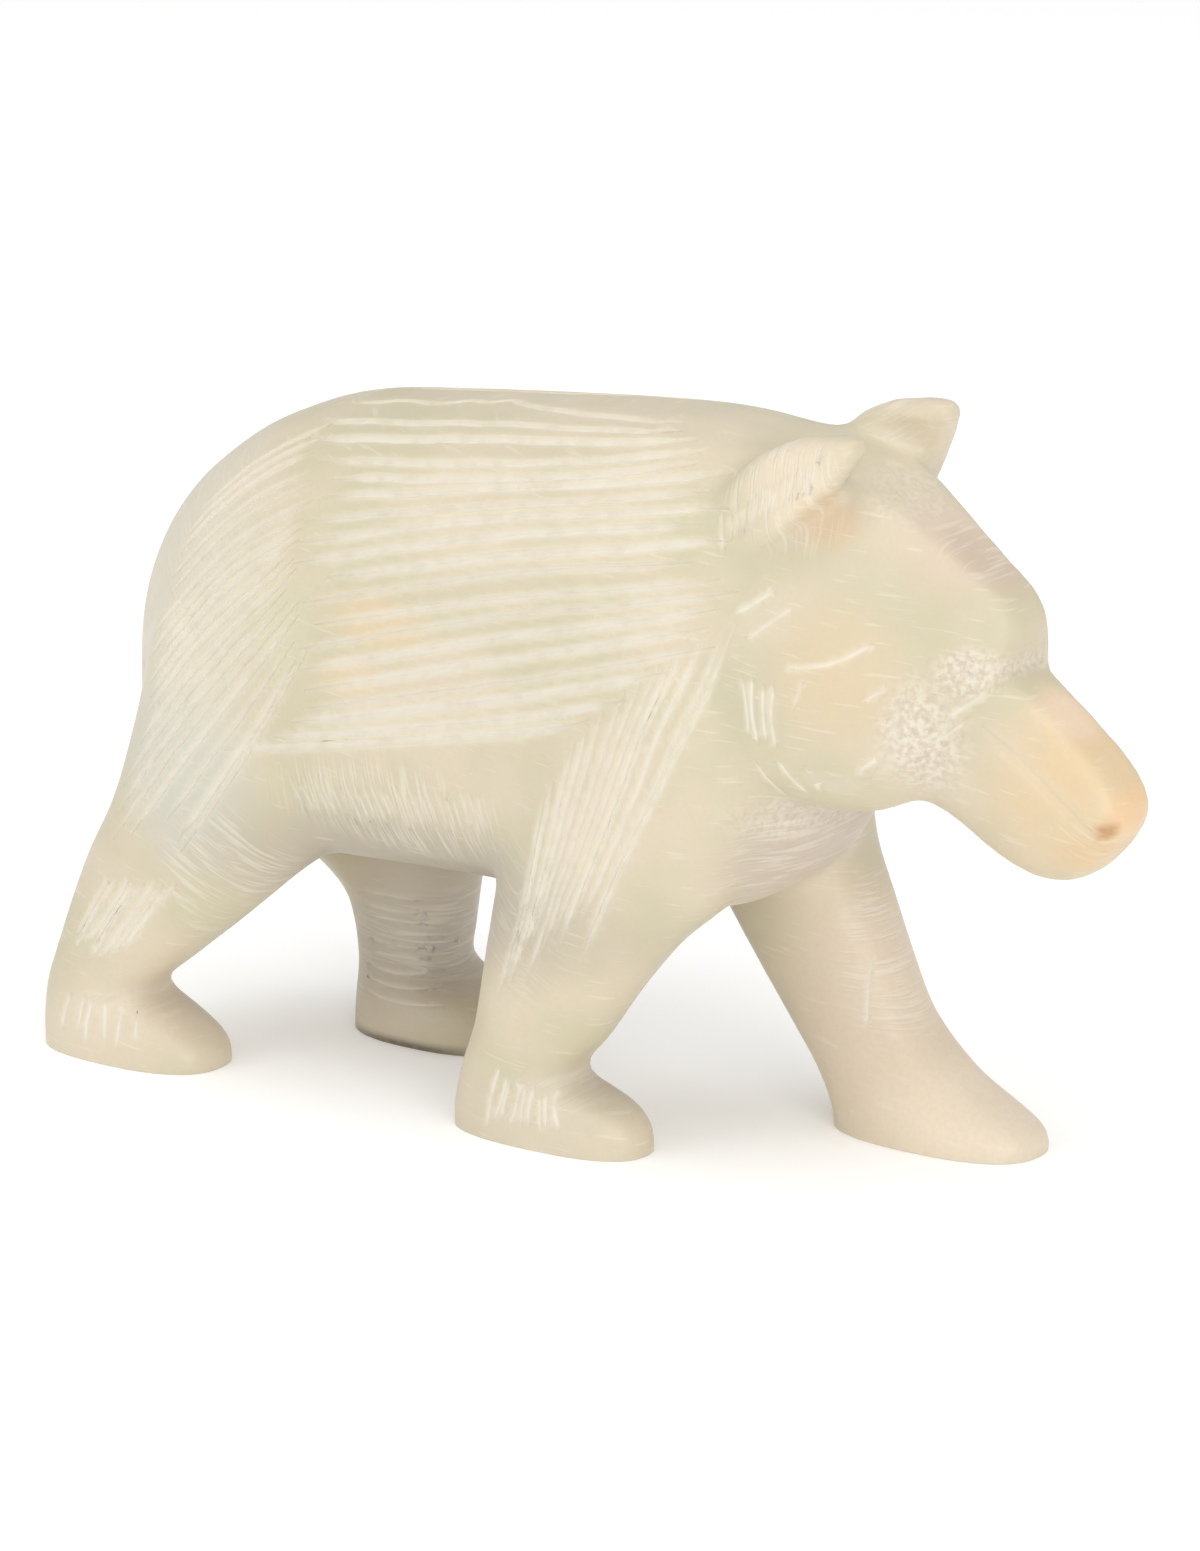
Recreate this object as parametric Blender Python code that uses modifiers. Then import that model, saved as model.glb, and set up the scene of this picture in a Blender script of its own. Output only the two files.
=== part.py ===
"""Walking bear carved from one block of pale soapstone.

The bear stands on four flat soles with its head low. It faces +X, its left side is +Y, and the origin
is on the ground below the middle of its box. Lengths are in metres.
"""

import math
from functools import partial

import bmesh
import bpy
from mathutils import Vector
from mathutils.bvhtree import BVHTree

# Driving dimensions
BEAR_LENGTH = 0.150  # heel of the trailing hind foot to the tip of the nose
FURROW_WIDTH = 0.0013  # mouth of a fur furrow left by the V gouge on the flank
FURROW_DEPTH = 0.0005
FURROW_COUNT = 18  # on each flank
STROKE_WIDTH = 0.0009  # mouth of the finer cuts on the rump and legs
STROKE_DEPTH = 0.00035
RUMP_STROKES = 11
LEG_STROKES = 7

# The figure keeps its pose and proportions: its form is drawn in shares of its own length.
DESIGN_LENGTH = 149.26
DESIGN_MIDDLE = 1.42  # x of the middle of that length
UNIT = BEAR_LENGTH / DESIGN_LENGTH

# How the masses are fused, eased and faceted
FUSE_VOXEL = 1.1 * UNIT
EASE_PASSES = 8
EASE_SHARE = 0.5
FACET_SHARE = 0.115  # of the carved mesh's triangles

# How a groove is cut
GROOVE_RINGS = 15  # stations along one groove
GROOVE_LIFT = 0.25  # how far the gouge stands above the stone
GROOVE_RUN_OUT = 0.14  # share of a groove over which it dies away at each end

STONE_COLOUR = (0.80, 0.73, 0.58, 1.0)
STONE_ROUGHNESS = 0.45

RING_POINTS = 14  # points down each flank of a section

# Body sections from rump to chest: x, top z, bottom z, greatest half width
BODY = [
    (-65.0, 54.0, 42.0, 4.0),
    (-63.2, 62.0, 35.0, 9.2),
    (-59.8, 69.0, 31.5, 13.5),
    (-54.5, 75.5, 29.5, 17.4),
    (-46.0, 81.8, 28.5, 20.7),
    (-36.0, 85.6, 28.5, 22.4),
    (-24.0, 87.4, 29.0, 23.0),
    (-10.0, 89.1, 29.5, 23.0),
    (4.0, 90.6, 29.5, 23.0),
    (15.0, 91.4, 30.0, 22.3),
    (24.0, 91.0, 31.5, 20.6),
    (30.0, 88.8, 35.0, 17.6),
    (34.0, 84.0, 40.0, 13.0),
    (35.4, 78.0, 46.0, 8.0),
]
BODY_CROWN = 2.4  # squareness of the body's upper half, where 2 is round
BODY_KEEL = 3.0  # squareness of its lower half

# Head sections, neck to brow: top x, top z, bottom x, bottom z, greatest half width
HEAD = [
    (20.0, 89.6, 24.0, 42.0, 20.4),
    (27.0, 90.1, 29.0, 44.5, 19.2),
    (33.0, 89.4, 34.0, 46.0, 18.8),
    (38.5, 88.2, 39.0, 46.4, 18.2),
    (43.5, 86.0, 43.5, 46.9, 16.2),
    (48.5, 82.9, 47.5, 48.6, 13.4),
    (54.0, 79.0, 51.2, 50.6, 11.0),
    (59.0, 75.6, 54.4, 54.0, 9.2),
    (61.4, 72.2, 57.5, 59.0, 7.0),
    (61.0, 69.3, 59.0, 62.0, 5.0),
]
# Share of the greatest half width at shares of the height, counted down from the top
HEAD_WIDTHS = [(0.0, 0.42), (0.07, 0.54), (0.3, 0.8), (0.58, 1.0), (0.82, 0.92), (0.93, 0.72), (1.0, 0.4)]

# Muzzle sections, from inside the face to the nose: top x, top z, bottom x, bottom z, half width
MUZZLE = [
    (53.0, 68.4, 46.0, 49.4, 8.0),
    (60.0, 66.1, 52.2, 47.0, 7.2),
    (66.4, 61.7, 58.6, 43.2, 6.8),
    (71.6, 57.4, 64.4, 41.4, 6.5),
    (75.1, 53.8, 70.0, 42.3, 5.6),
    (76.4, 51.0, 73.8, 46.2, 3.7),
]
MUZZLE_WIDTHS = [(0.0, 0.6), (0.12, 0.82), (0.35, 1.0), (0.7, 1.0), (0.9, 0.78), (1.0, 0.45)]

# Legs, ground to body: z, heel x, toe x, then how far the inner and outer sides are from the middle
HIND_NEAR = [
    (-2.5, -73.0, -47.8, 7.6, 22.2),
    (2.5, -73.4, -47.6, 7.5, 22.3),
    (5.5, -73.2, -52.4, 7.5, 21.8),
    (8.5, -72.8, -57.8, 8.0, 21.0),
    (13.0, -71.5, -53.0, 8.0, 20.8),
    (19.0, -69.6, -45.8, 7.5, 20.8),
    (26.0, -66.8, -37.8, 7.0, 21.2),
    (34.0, -62.7, -29.2, 6.0, 22.0),
    (46.0, -59.0, -27.0, 5.0, 22.0),
    (60.0, -56.0, -31.0, 5.0, 20.2),
    (72.0, -50.0, -36.0, 5.0, 15.0),
]
HIND_FAR = [
    (-2.5, -44.6, -20.6, 4.4, 20.6),
    (2.5, -44.6, -20.4, 4.4, 20.8),
    (6.0, -44.6, -23.6, 5.4, 20.8),
    (8.5, -44.8, -30.6, 7.0, 20.6),
    (13.0, -45.8, -30.4, 7.6, 20.8),
    (18.0, -47.8, -29.8, 7.0, 21.4),
    (24.0, -56.0, -28.4, 6.5, 22.0),
    (32.0, -60.5, -26.0, 6.0, 22.4),
    (46.0, -60.5, -26.0, 5.0, 22.0),
    (60.0, -56.0, -31.0, 5.0, 20.2),
    (72.0, -50.0, -36.0, 5.0, 15.0),
]
FORE_NEAR = [
    (-2.5, -12.2, 15.0, 7.0, 19.4),
    (2.5, -12.4, 15.2, 6.9, 19.6),
    (5.5, -11.6, 12.4, 7.0, 19.8),
    (8.5, -10.4, 5.2, 7.5, 20.0),
    (14.0, -8.4, 9.2, 7.5, 20.4),
    (21.0, -7.0, 14.1, 7.0, 21.2),
    (28.0, -5.6, 19.8, 6.0, 22.2),
    (36.0, -4.2, 27.8, 5.0, 23.2),
    (50.0, -3.0, 32.0, 4.0, 23.6),
    (62.0, 1.0, 30.0, 4.0, 22.6),
    (74.0, 8.0, 26.0, 4.0, 18.0),
]
FORE_FAR = [
    (-2.5, 26.8, 54.6, 5.6, 20.4),
    (2.0, 26.2, 55.2, 5.6, 20.8),
    (5.0, 24.8, 50.2, 6.2, 20.8),
    (8.0, 22.8, 44.8, 7.0, 20.6),
    (14.0, 18.2, 38.4, 7.5, 20.8),
    (21.0, 13.4, 34.8, 7.0, 21.4),
    (28.0, 9.2, 31.8, 6.0, 22.2),
    (36.0, 4.8, 28.6, 5.0, 23.2),
    (50.0, -1.0, 28.0, 4.0, 23.6),
    (62.0, 1.0, 28.0, 4.0, 22.6),
    (74.0, 8.0, 26.0, 4.0, 18.0),
]
LEG_SQUARENESS = 2.5  # 2 is a plain oval, and more is squarer

# An ear's outline seen from the side, x and z: it is a thick flap that narrows and leans in towards its rim
EAR_OUTLINE = [
    (29.5, 79.0),
    (25.6, 82.6),
    (26.6, 86.6),
    (30.2, 91.2),
    (35.0, 93.4),
    (40.2, 94.4),
    (43.8, 94.4),
    (44.1, 92.6),
    (42.2, 88.6),
    (40.0, 84.4),
    (37.5, 80.0),
]
EAR_MIDDLE = 11.6
EAR_HALF_THICKNESS = 3.0
EAR_LEAN = -0.24
ROW_STEPS = 4  # extra sections between two given ones

# Grooves seen from the right side, in order over the body; the ones between them are spread evenly.
# Flank furrows, spine to belly: start x, start z, middle z, end x, end z
FLANK = [
    (-38.0, 84.6, 88.2, 16.0, 90.4),
    (-31.5, 81.0, 85.0, 20.5, 88.8),
    (-27.5, 76.1, 81.0, 23.5, 85.4),
    (-28.5, 69.5, 76.6, 25.5, 81.8),
    (-27.0, 62.2, 70.2, 27.0, 75.8),
    (-28.5, 54.6, 62.6, 26.0, 70.0),
    (-35.8, 46.2, 51.6, 12.0, 57.0),
]
# Rump and thigh strokes: start x, start z, middle x, middle z, end x, end z
RUMP = [
    (-34.5, 83.4, -41.5, 79.0, -50.0, 71.0),
    (-32.0, 79.0, -40.5, 74.0, -52.0, 62.5),
    (-33.0, 72.0, -43.5, 64.2, -54.5, 51.0),
    (-37.0, 65.5, -47.0, 55.0, -57.0, 40.5),
    (-33.5, 62.0, -44.5, 48.5, -57.0, 28.0),
    (-30.0, 57.5, -40.5, 43.0, -50.5, 26.5),
]
# Shoulder and foreleg strokes, back to front
FORELEG = [
    (10.5, 50.0, 5.2, 33.0, -2.5, 16.0),
    (17.5, 61.0, 11.5, 42.0, 2.2, 20.0),
    (23.5, 62.0, 16.5, 43.5, 5.8, 21.5),
    (27.5, 56.0, 21.0, 42.0, 10.5, 25.0),
]


def between(rows, place):
    """A row read at a fractional place in a list of rows, along a smooth line through all of them."""
    last = len(rows) - 1
    start = min(int(place), last - 1)
    part = place - start
    before, low, high, after = (rows[min(max(start + k, 0), last)] for k in (-1, 0, 1, 2))
    mixed = []
    for a, b, c, d in zip(before, low, high, after):
        bend = (2 * a - 5 * b + 4 * c - d) * part**2 + (3 * b - a - 3 * c + d) * part**3
        mixed.append(b + ((c - a) * part + bend) / 2)
    return mixed


def smoothed(rows):
    """The rows with more of them in between, so that a loft through them has no hard steps."""
    return [between(rows, i / ROW_STEPS) for i in range((len(rows) - 1) * ROW_STEPS + 1)]


def row_at(rows, key):
    """The row of a table read where its rising first column has the given value."""
    for low, high in zip(rows, rows[1:]):
        if key <= high[0]:
            part = max(key - low[0], 0) / (high[0] - low[0])
            return [a + (b - a) * part for a, b in zip(low, high)]
    return rows[-1]


def body_width(share):
    """Share of the body's half width at a share of its height, counted down from the top."""
    squareness = BODY_CROWN if share < 0.5 else BODY_KEEL
    return (1 - abs(1 - 2 * share) ** squareness) ** (1 / squareness)


def head_width(widths, share):
    """Share of the head's or muzzle's half width at a share of its height, read from its table."""
    place = next(i for i, row in enumerate(widths[1:]) if share <= row[0])
    low, high = widths[place], widths[place + 1]
    return between(widths, place + (share - low[0]) / (high[0] - low[0]))[1]


def section_ring(top, bottom, half_width, width_at):
    """A closed ring in the upright plane through top and bottom, with its width given at each share of the height."""
    shares = [0.5 - 0.5 * math.cos(math.pi * (i + 0.5) / RING_POINTS) for i in range(RING_POINTS)]
    middle = [top.lerp(bottom, share) for share in shares]
    reach = [half_width * width_at(share) for share in shares]
    right = [point + Vector((0, -side, 0)) for point, side in zip(middle, reach)]
    left = [point + Vector((0, side, 0)) for point, side in zip(middle, reach)]
    return right + left[::-1]


def oval_ring(height, heel, toe, inner, outer, side):
    """A level ring of a leg: an oval squared off a little, on the side of the bear given by +1 or -1."""
    count = 2 * RING_POINTS
    ring = []
    for i in range(count):
        turn = 2 * math.pi * i / count
        across = math.copysign(abs(math.cos(turn)) ** (2 / LEG_SQUARENESS), math.cos(turn))
        over = math.copysign(abs(math.sin(turn)) ** (2 / LEG_SQUARENESS), math.sin(turn))
        x = (heel + toe) / 2 + (toe - heel) / 2 * across
        y = side * ((inner + outer) / 2 + (outer - inner) / 2 * over)
        ring.append(Vector((x, y, height)))
    return ring


def loft(bm, rings):
    """Skins a row of rings with equal counts into one closed shell, with a flat cap at each end."""
    middle = Vector((DESIGN_MIDDLE, 0, 0))
    loops = [[bm.verts.new((point - middle) * UNIT) for point in ring] for ring in rings]
    faces = [bm.faces.new(loops[0]), bm.faces.new(loops[-1][::-1])]
    count = len(rings[0])
    for lower, upper in zip(loops, loops[1:]):
        for i in range(count):
            j = (i + 1) % count
            faces.append(bm.faces.new((lower[i], lower[j], upper[j], upper[i])))
    bmesh.ops.recalc_face_normals(bm, faces=faces)


def add_body(bm):
    """The barrel from rump to chest."""
    rings = []
    for x, top, bottom, half_width in smoothed(BODY):
        rings.append(section_ring(Vector((x, 0, top)), Vector((x, 0, bottom)), half_width, body_width))
    loft(bm, rings)


def add_head(bm):
    """The neck and skull, and the muzzle set into it below the brow."""
    for table, widths in ((HEAD, HEAD_WIDTHS), (MUZZLE, MUZZLE_WIDTHS)):
        rings = []
        for top_x, top_z, bottom_x, bottom_z, half_width in smoothed(table):
            top, bottom = Vector((top_x, 0, top_z)), Vector((bottom_x, 0, bottom_z))
            rings.append(section_ring(top, bottom, half_width, partial(head_width, widths)))
        loft(bm, rings)


def add_ears(bm):
    """Two thick flaps that lean in a little towards their rims."""
    centre = sum((Vector((x, 0, z)) for x, z in EAR_OUTLINE), Vector()) / len(EAR_OUTLINE)
    for side in (-1, 1):
        rings = []
        for level, size in ((-1.0, 0.72), (-0.7, 0.93), (0.0, 1.0), (0.7, 0.93), (1.0, 0.72)):
            ring = []
            for x, z in EAR_OUTLINE:
                point = centre + (Vector((x, 0, z)) - centre) * size
                lean = EAR_LEAN * (point.z - centre.z)
                ring.append(Vector((point.x, side * (EAR_MIDDLE + lean) + level * EAR_HALF_THICKNESS, point.z)))
            rings.append(ring)
        loft(bm, rings)


def add_legs(bm):
    """Four legs with their feet. The right pair is nearer the viewer of the bear's right side."""
    for table, side in ((HIND_NEAR, -1), (HIND_FAR, 1), (FORE_NEAR, -1), (FORE_FAR, 1)):
        loft(bm, [oval_ring(*row, side) for row in smoothed(table)])


def stone_material():
    """Pale, waxy soapstone."""
    material = bpy.data.materials.new("soapstone")
    material.use_nodes = True
    shader = material.node_tree.nodes["Principled BSDF"]
    shader.inputs["Base Color"].default_value = STONE_COLOUR
    shader.inputs["Roughness"].default_value = STONE_ROUGHNESS
    shader.inputs["Metallic"].default_value = 0.0
    return material


def add_cutter(name, bm, cutters):
    """A tool shape, kept out of the carving itself."""
    mesh = bpy.data.meshes.new(name)
    bm.to_mesh(mesh)
    bm.free()
    cutter = bpy.data.objects.new(name, mesh)
    cutter.hide_render = True
    cutter.display_type = "WIRE"
    cutters.objects.link(cutter)
    return cutter


def cut(bear, name, bm, cutters):
    """Takes the shape out of the bear."""
    boolean = bear.modifiers.new(name, "BOOLEAN")
    boolean.operation = "DIFFERENCE"
    boolean.object = add_cutter(name, bm, cutters)
    boolean.use_self = True  # neighbouring grooves may run into each other


def fan(rows, count):
    """As many strokes as asked for, spread evenly between the given ones."""
    return [between(rows, (len(rows) - 1) * i / (count - 1)) for i in range(count)]


def leg_shift(legs, height):
    """How far the left leg of a pair is ahead of the right one at a height."""
    right, left = (row_at(table, height) for table in legs)
    return (left[1] + left[2] - right[1] - right[2]) / 2


def groove(bm, stone, path, width, depth, side):
    """A V gouge's cut along a path of three points in side view, following the stone and dying away at its ends."""
    middle = Vector((DESIGN_MIDDLE, 0, 0))
    points = []
    for i in range(GROOVE_RINGS):
        x, z = between(path, 2 * i / (GROOVE_RINGS - 1))
        eye = (Vector((x, side * DESIGN_LENGTH, z)) - middle) * UNIT
        place, normal, *_ = stone.ray_cast(eye, Vector((0, -side, 0)))
        points.append((place / UNIT + middle, normal))
    rings = []
    for i, (place, normal) in enumerate(points):
        ahead = points[min(i + 1, GROOVE_RINGS - 1)][0] - points[max(i - 1, 0)][0]
        across = ahead.cross(normal).normalized()
        share = i / (GROOVE_RINGS - 1)
        bite = depth * min(1.0, share / GROOVE_RUN_OUT - 0.4, (1 - share) / GROOVE_RUN_OUT - 0.4)
        reach = (bite + GROOVE_LIFT) * width / depth / 2
        crest = place + normal * GROOVE_LIFT
        rings.append([crest + across * reach, crest - across * reach, place - normal * bite])
    loft(bm, rings)


def add_grooves(bear, cutters):
    """The fur: furrows along the flanks, then finer strokes over rump, thighs, shoulders and legs."""
    stone = BVHTree.FromObject(bear, bpy.context.evaluated_depsgraph_get())
    furrows, strokes = bmesh.new(), bmesh.new()
    width, depth = FURROW_WIDTH / UNIT, FURROW_DEPTH / UNIT
    for start_x, start_z, middle_z, end_x, end_z in fan(FLANK, FURROW_COUNT):
        path = [(start_x, start_z), ((start_x + end_x) / 2, middle_z), (end_x, end_z)]
        for side in (-1, 1):
            groove(furrows, stone, path, width, depth, side)
    width, depth = STROKE_WIDTH / UNIT, STROKE_DEPTH / UNIT
    hind, fore = (HIND_NEAR, HIND_FAR), (FORE_NEAR, FORE_FAR)
    for rows, count, legs in ((RUMP, RUMP_STROKES, hind), (FORELEG, LEG_STROKES, fore)):
        for stroke in fan(rows, count):
            path = list(zip(stroke[::2], stroke[1::2]))
            groove(strokes, stone, path, width, depth, -1)
            groove(strokes, stone, [(x + leg_shift(legs, z), z) for x, z in path], width, depth, 1)
    cut(bear, "flank furrows", furrows, cutters)
    cut(bear, "rump and leg strokes", strokes, cutters)


def add_bear(collection, cutters):
    """The carving: overlapping masses fused into one solid, eased like worked stone, grooved and faceted."""
    mesh = bpy.data.meshes.new("bear")
    bm = bmesh.new()
    add_body(bm)
    add_head(bm)
    add_ears(bm)
    add_legs(bm)
    bm.to_mesh(mesh)
    bm.free()
    bear = bpy.data.objects.new("bear", mesh)
    collection.objects.link(bear)
    mesh.materials.append(stone_material())

    fuse = bear.modifiers.new("fuse masses", "REMESH")
    fuse.mode = "VOXEL"
    fuse.voxel_size = FUSE_VOXEL
    fuse.use_smooth_shade = True
    ease = bear.modifiers.new("ease creases", "SMOOTH")
    ease.factor = EASE_SHARE
    ease.iterations = EASE_PASSES
    add_grooves(bear, cutters)
    facet = bear.modifiers.new("facet", "DECIMATE")
    facet.ratio = FACET_SHARE
    ground = bmesh.new()
    bmesh.ops.create_cube(ground, size=2 * BEAR_LENGTH)
    bmesh.ops.translate(ground, verts=ground.verts, vec=(0, 0, -BEAR_LENGTH))
    cut(bear, "rub soles flat", ground, cutters)


def main():
    """Clears the scene and builds the carving."""
    for old in list(bpy.data.objects):
        bpy.data.objects.remove(old)
    collection = bpy.data.collections.new("soapstone_bear")
    cutters = bpy.data.collections.new("cutters")
    for made in (collection, cutters):
        bpy.context.scene.collection.children.link(made)
    add_bear(collection, cutters)


if __name__ == "__main__":
    main()
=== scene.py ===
"""Walking soapstone bear: the carved form with its furrows, scratches and file marks, and its waxed stone.

The masses are fused and eased as in the solid, then every family of tool marks is cut into the stone by one
geometry node tree. Forms and marks are drawn in millimetres of the figure's own drawing and scaled once.
"""

import logging
import math
import random
from collections.abc import Callable, Sequence
from dataclasses import dataclass, field
from enum import Enum

import bmesh
import bpy
import numpy as np
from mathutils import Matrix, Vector

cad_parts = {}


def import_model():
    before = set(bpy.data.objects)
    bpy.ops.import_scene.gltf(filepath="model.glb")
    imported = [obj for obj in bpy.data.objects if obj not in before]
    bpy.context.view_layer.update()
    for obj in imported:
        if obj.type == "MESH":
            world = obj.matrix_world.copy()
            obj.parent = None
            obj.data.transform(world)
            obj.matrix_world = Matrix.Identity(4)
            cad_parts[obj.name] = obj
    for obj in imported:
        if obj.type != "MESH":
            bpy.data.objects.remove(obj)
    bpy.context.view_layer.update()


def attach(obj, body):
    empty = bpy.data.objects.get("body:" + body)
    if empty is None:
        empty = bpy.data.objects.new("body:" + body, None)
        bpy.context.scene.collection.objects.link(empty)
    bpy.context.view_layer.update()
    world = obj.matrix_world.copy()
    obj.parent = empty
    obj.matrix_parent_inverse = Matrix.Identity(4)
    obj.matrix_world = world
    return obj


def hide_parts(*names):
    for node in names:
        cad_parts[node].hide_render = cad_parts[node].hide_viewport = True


LOG = logging.getLogger("soapstone bear")

BEAR_LENGTH = 0.150  # heel of the trailing hind foot to the tip of the nose, in metres
DRAWN_LENGTH = 149.26  # the same length in the drawing
DRAWN_MIDDLE = 1.42  # x of the middle of that length in the drawing
UNIT = BEAR_LENGTH / DRAWN_LENGTH  # metres in a drawn millimetre

Row = tuple[float, ...]
Ring = list[Vector]
Socket = bpy.types.NodeSocket


def placed(point: Vector) -> Vector:
    """A drawn point in metres, with the middle of the bear over the origin."""
    return (point - Vector((DRAWN_MIDDLE, 0, 0))) * UNIT


def between(rows: Sequence[Row], place: float) -> list[float]:
    """Reads a table at a fractional place, along a smooth line through all its rows.

    Args:
        rows: Rows of equal length.
        place: Index of the row, with a fraction.

    Returns:
        The mixed row.
    """
    last = len(rows) - 1
    start = min(int(place), last - 1)
    part = place - start
    before, low, high, after = (rows[min(max(start + k, 0), last)] for k in (-1, 0, 1, 2))
    mixed = []
    for a, b, c, d in zip(before, low, high, after):
        bend = (2 * a - 5 * b + 4 * c - d) * part**2 + (3 * b - a - 3 * c + d) * part**3
        mixed.append(b + ((c - a) * part + bend) / 2)
    return mixed


def row_at(rows: Sequence[Row], key: float) -> Sequence[float]:
    """Reads a table where its rising first column has a value.

    Args:
        rows: Rows in order of their first column.
        key: The value to look for.

    Returns:
        The row mixed from its two neighbours.
    """
    for low, high in zip(rows, rows[1:]):
        if key <= high[0]:
            part = max(key - low[0], 0.0) / (high[0] - low[0])
            return [a + (b - a) * part for a, b in zip(low, high)]
    return rows[-1]


def linear(red: int, green: int, blue: int) -> tuple[float, float, float, float]:
    """A colour given as eight-bit display values, as linear light."""
    return tuple(((c / 255 + 0.055) / 1.055) ** 2.4 for c in (red, green, blue)) + (1.0,)


@dataclass
class Legs:
    """The four legs with their feet: rows of height, heel, toe, inner and outer reach from the middle."""

    squareness: float = 2.5
    ring_points: int = 28
    hind_right: Sequence[Row] = (
        (-2.5, -73, -47.8, 7.6, 22.2), (2.5, -73.4, -47.6, 7.5, 22.3), (5.5, -73.2, -52.4, 7.5, 21.8),
        (8.5, -72.8, -57.8, 8, 21), (13, -71.5, -53, 8, 20.8), (19, -69.6, -45.8, 7.5, 20.8),
        (26, -66.8, -37.8, 7, 21.2), (34, -62.7, -29.2, 6, 22), (46, -59, -27, 5, 22),
        (60, -56, -31, 5, 20.2), (72, -50, -36, 5, 15),
    )
    hind_left: Sequence[Row] = (
        (-2.5, -44.6, -20.6, 4.4, 20.6), (2.5, -44.6, -20.4, 4.4, 20.8), (6, -44.6, -23.6, 5.4, 20.8),
        (8.5, -44.8, -30.6, 7, 20.6), (13, -45.8, -30.4, 7.6, 20.8), (18, -47.8, -29.8, 7, 21.4),
        (24, -56, -28.4, 6.5, 22), (32, -60.5, -26, 6, 22.4), (46, -60.5, -26, 5, 22),
        (60, -56, -31, 5, 20.2), (72, -50, -36, 5, 15),
    )
    fore_right: Sequence[Row] = (
        (-2.5, -12.2, 15, 7, 19.4), (2.5, -12.4, 15.2, 6.9, 19.6), (5.5, -11.6, 12.4, 7, 19.8),
        (8.5, -10.4, 5.2, 7.5, 20), (14, -8.4, 9.2, 7.5, 20.4), (21, -7, 14.1, 7, 21.2),
        (28, -5.6, 19.8, 6, 22.2), (36, -4.2, 27.8, 5, 23.2), (50, -3, 32, 4, 23.6), (62, 1, 30, 4, 22.6),
        (74, 8, 26, 4, 18),
    )
    fore_left: Sequence[Row] = (
        (-2.5, 26.8, 54.6, 5.6, 20.4), (2, 26.2, 55.2, 5.6, 20.8), (5, 24.8, 50.2, 6.2, 20.8),
        (8, 22.8, 44.8, 7, 20.6), (14, 18.2, 38.4, 7.5, 20.8), (21, 13.4, 34.8, 7, 21.4),
        (28, 9.2, 31.8, 6, 22.2), (36, 4.8, 28.6, 5, 23.2), (50, -1, 28, 4, 23.6), (62, 1, 28, 4, 22.6),
        (74, 8, 26, 4, 18),
    )

    def shells(self) -> list[list[Ring]]:
        """The rings of each leg, ground to body."""
        sides = ((self.hind_right, -1), (self.hind_left, 1), (self.fore_right, -1), (self.fore_left, 1))
        return [[self.oval(row, side) for row in smoothed(table)] for table, side in sides]

    def oval(self, row: Sequence[float], side: int) -> Ring:
        """One level ring of a leg.

        Args:
            row: Height, heel, toe, inner and outer reach.
            side: -1 on the bear's right, 1 on its left.

        Returns:
            The ring's points, an oval squared off a little.
        """
        height, heel, toe, inner, outer = row
        ring = []
        for i in range(self.ring_points):
            turn = 2 * math.pi * i / self.ring_points
            across = math.copysign(abs(math.cos(turn)) ** (2 / self.squareness), math.cos(turn))
            over = math.copysign(abs(math.sin(turn)) ** (2 / self.squareness), math.sin(turn))
            x = (heel + toe) / 2 + (toe - heel) / 2 * across
            ring.append(Vector((x, side * ((inner + outer) / 2 + (outer - inner) / 2 * over), height)))
        return ring

    def lead(self, hind: bool, height: float) -> float:
        """How far the left leg of a pair is ahead of the right one.

        Args:
            hind: True for the hind pair.
            height: Height above the ground.

        Returns:
            The distance between the two legs' middles.
        """
        pair = (self.hind_right, self.hind_left) if hind else (self.fore_right, self.fore_left)
        right, left = (row_at(table, height) for table in pair)
        return (left[1] + left[2] - right[1] - right[2]) / 2


@dataclass
class Trunk:
    """The barrel from rump to chest: rows of x, top, bottom and greatest half width."""

    crown: float = 2.4
    keel: float = 3.0
    rows: Sequence[Row] = (
        (-65, 54, 42, 4), (-63.2, 62, 35, 9.2), (-59.8, 69, 31.5, 13.5), (-54.5, 75.5, 29.5, 17.4),
        (-46, 81.8, 28.5, 20.7), (-36, 85.6, 28.5, 22.4), (-24, 87.4, 29, 23), (-10, 89.1, 29.5, 23),
        (4, 90.6, 29.5, 23), (15, 91.4, 30, 22.3), (24, 91, 31.5, 20.6), (30, 88.8, 35, 17.6),
        (34, 84, 40, 13), (35.4, 78, 46, 8),
    )

    def width(self, share: float) -> float:
        """Share of the half width at a share of the height, counted down from the top."""
        squareness = self.crown if share < 0.5 else self.keel
        return (1 - abs(1 - 2 * share) ** squareness) ** (1 / squareness)

    def shells(self) -> list[list[Ring]]:
        """Draws the barrel.

        Returns:
            Its one shell, as a list of rings.
        """
        rings = []
        for x, top, bottom, half in smoothed(self.rows):
            rings.append(upright(Vector((x, 0, top)), Vector((x, 0, bottom)), half, self.width))
        return [rings]


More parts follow.
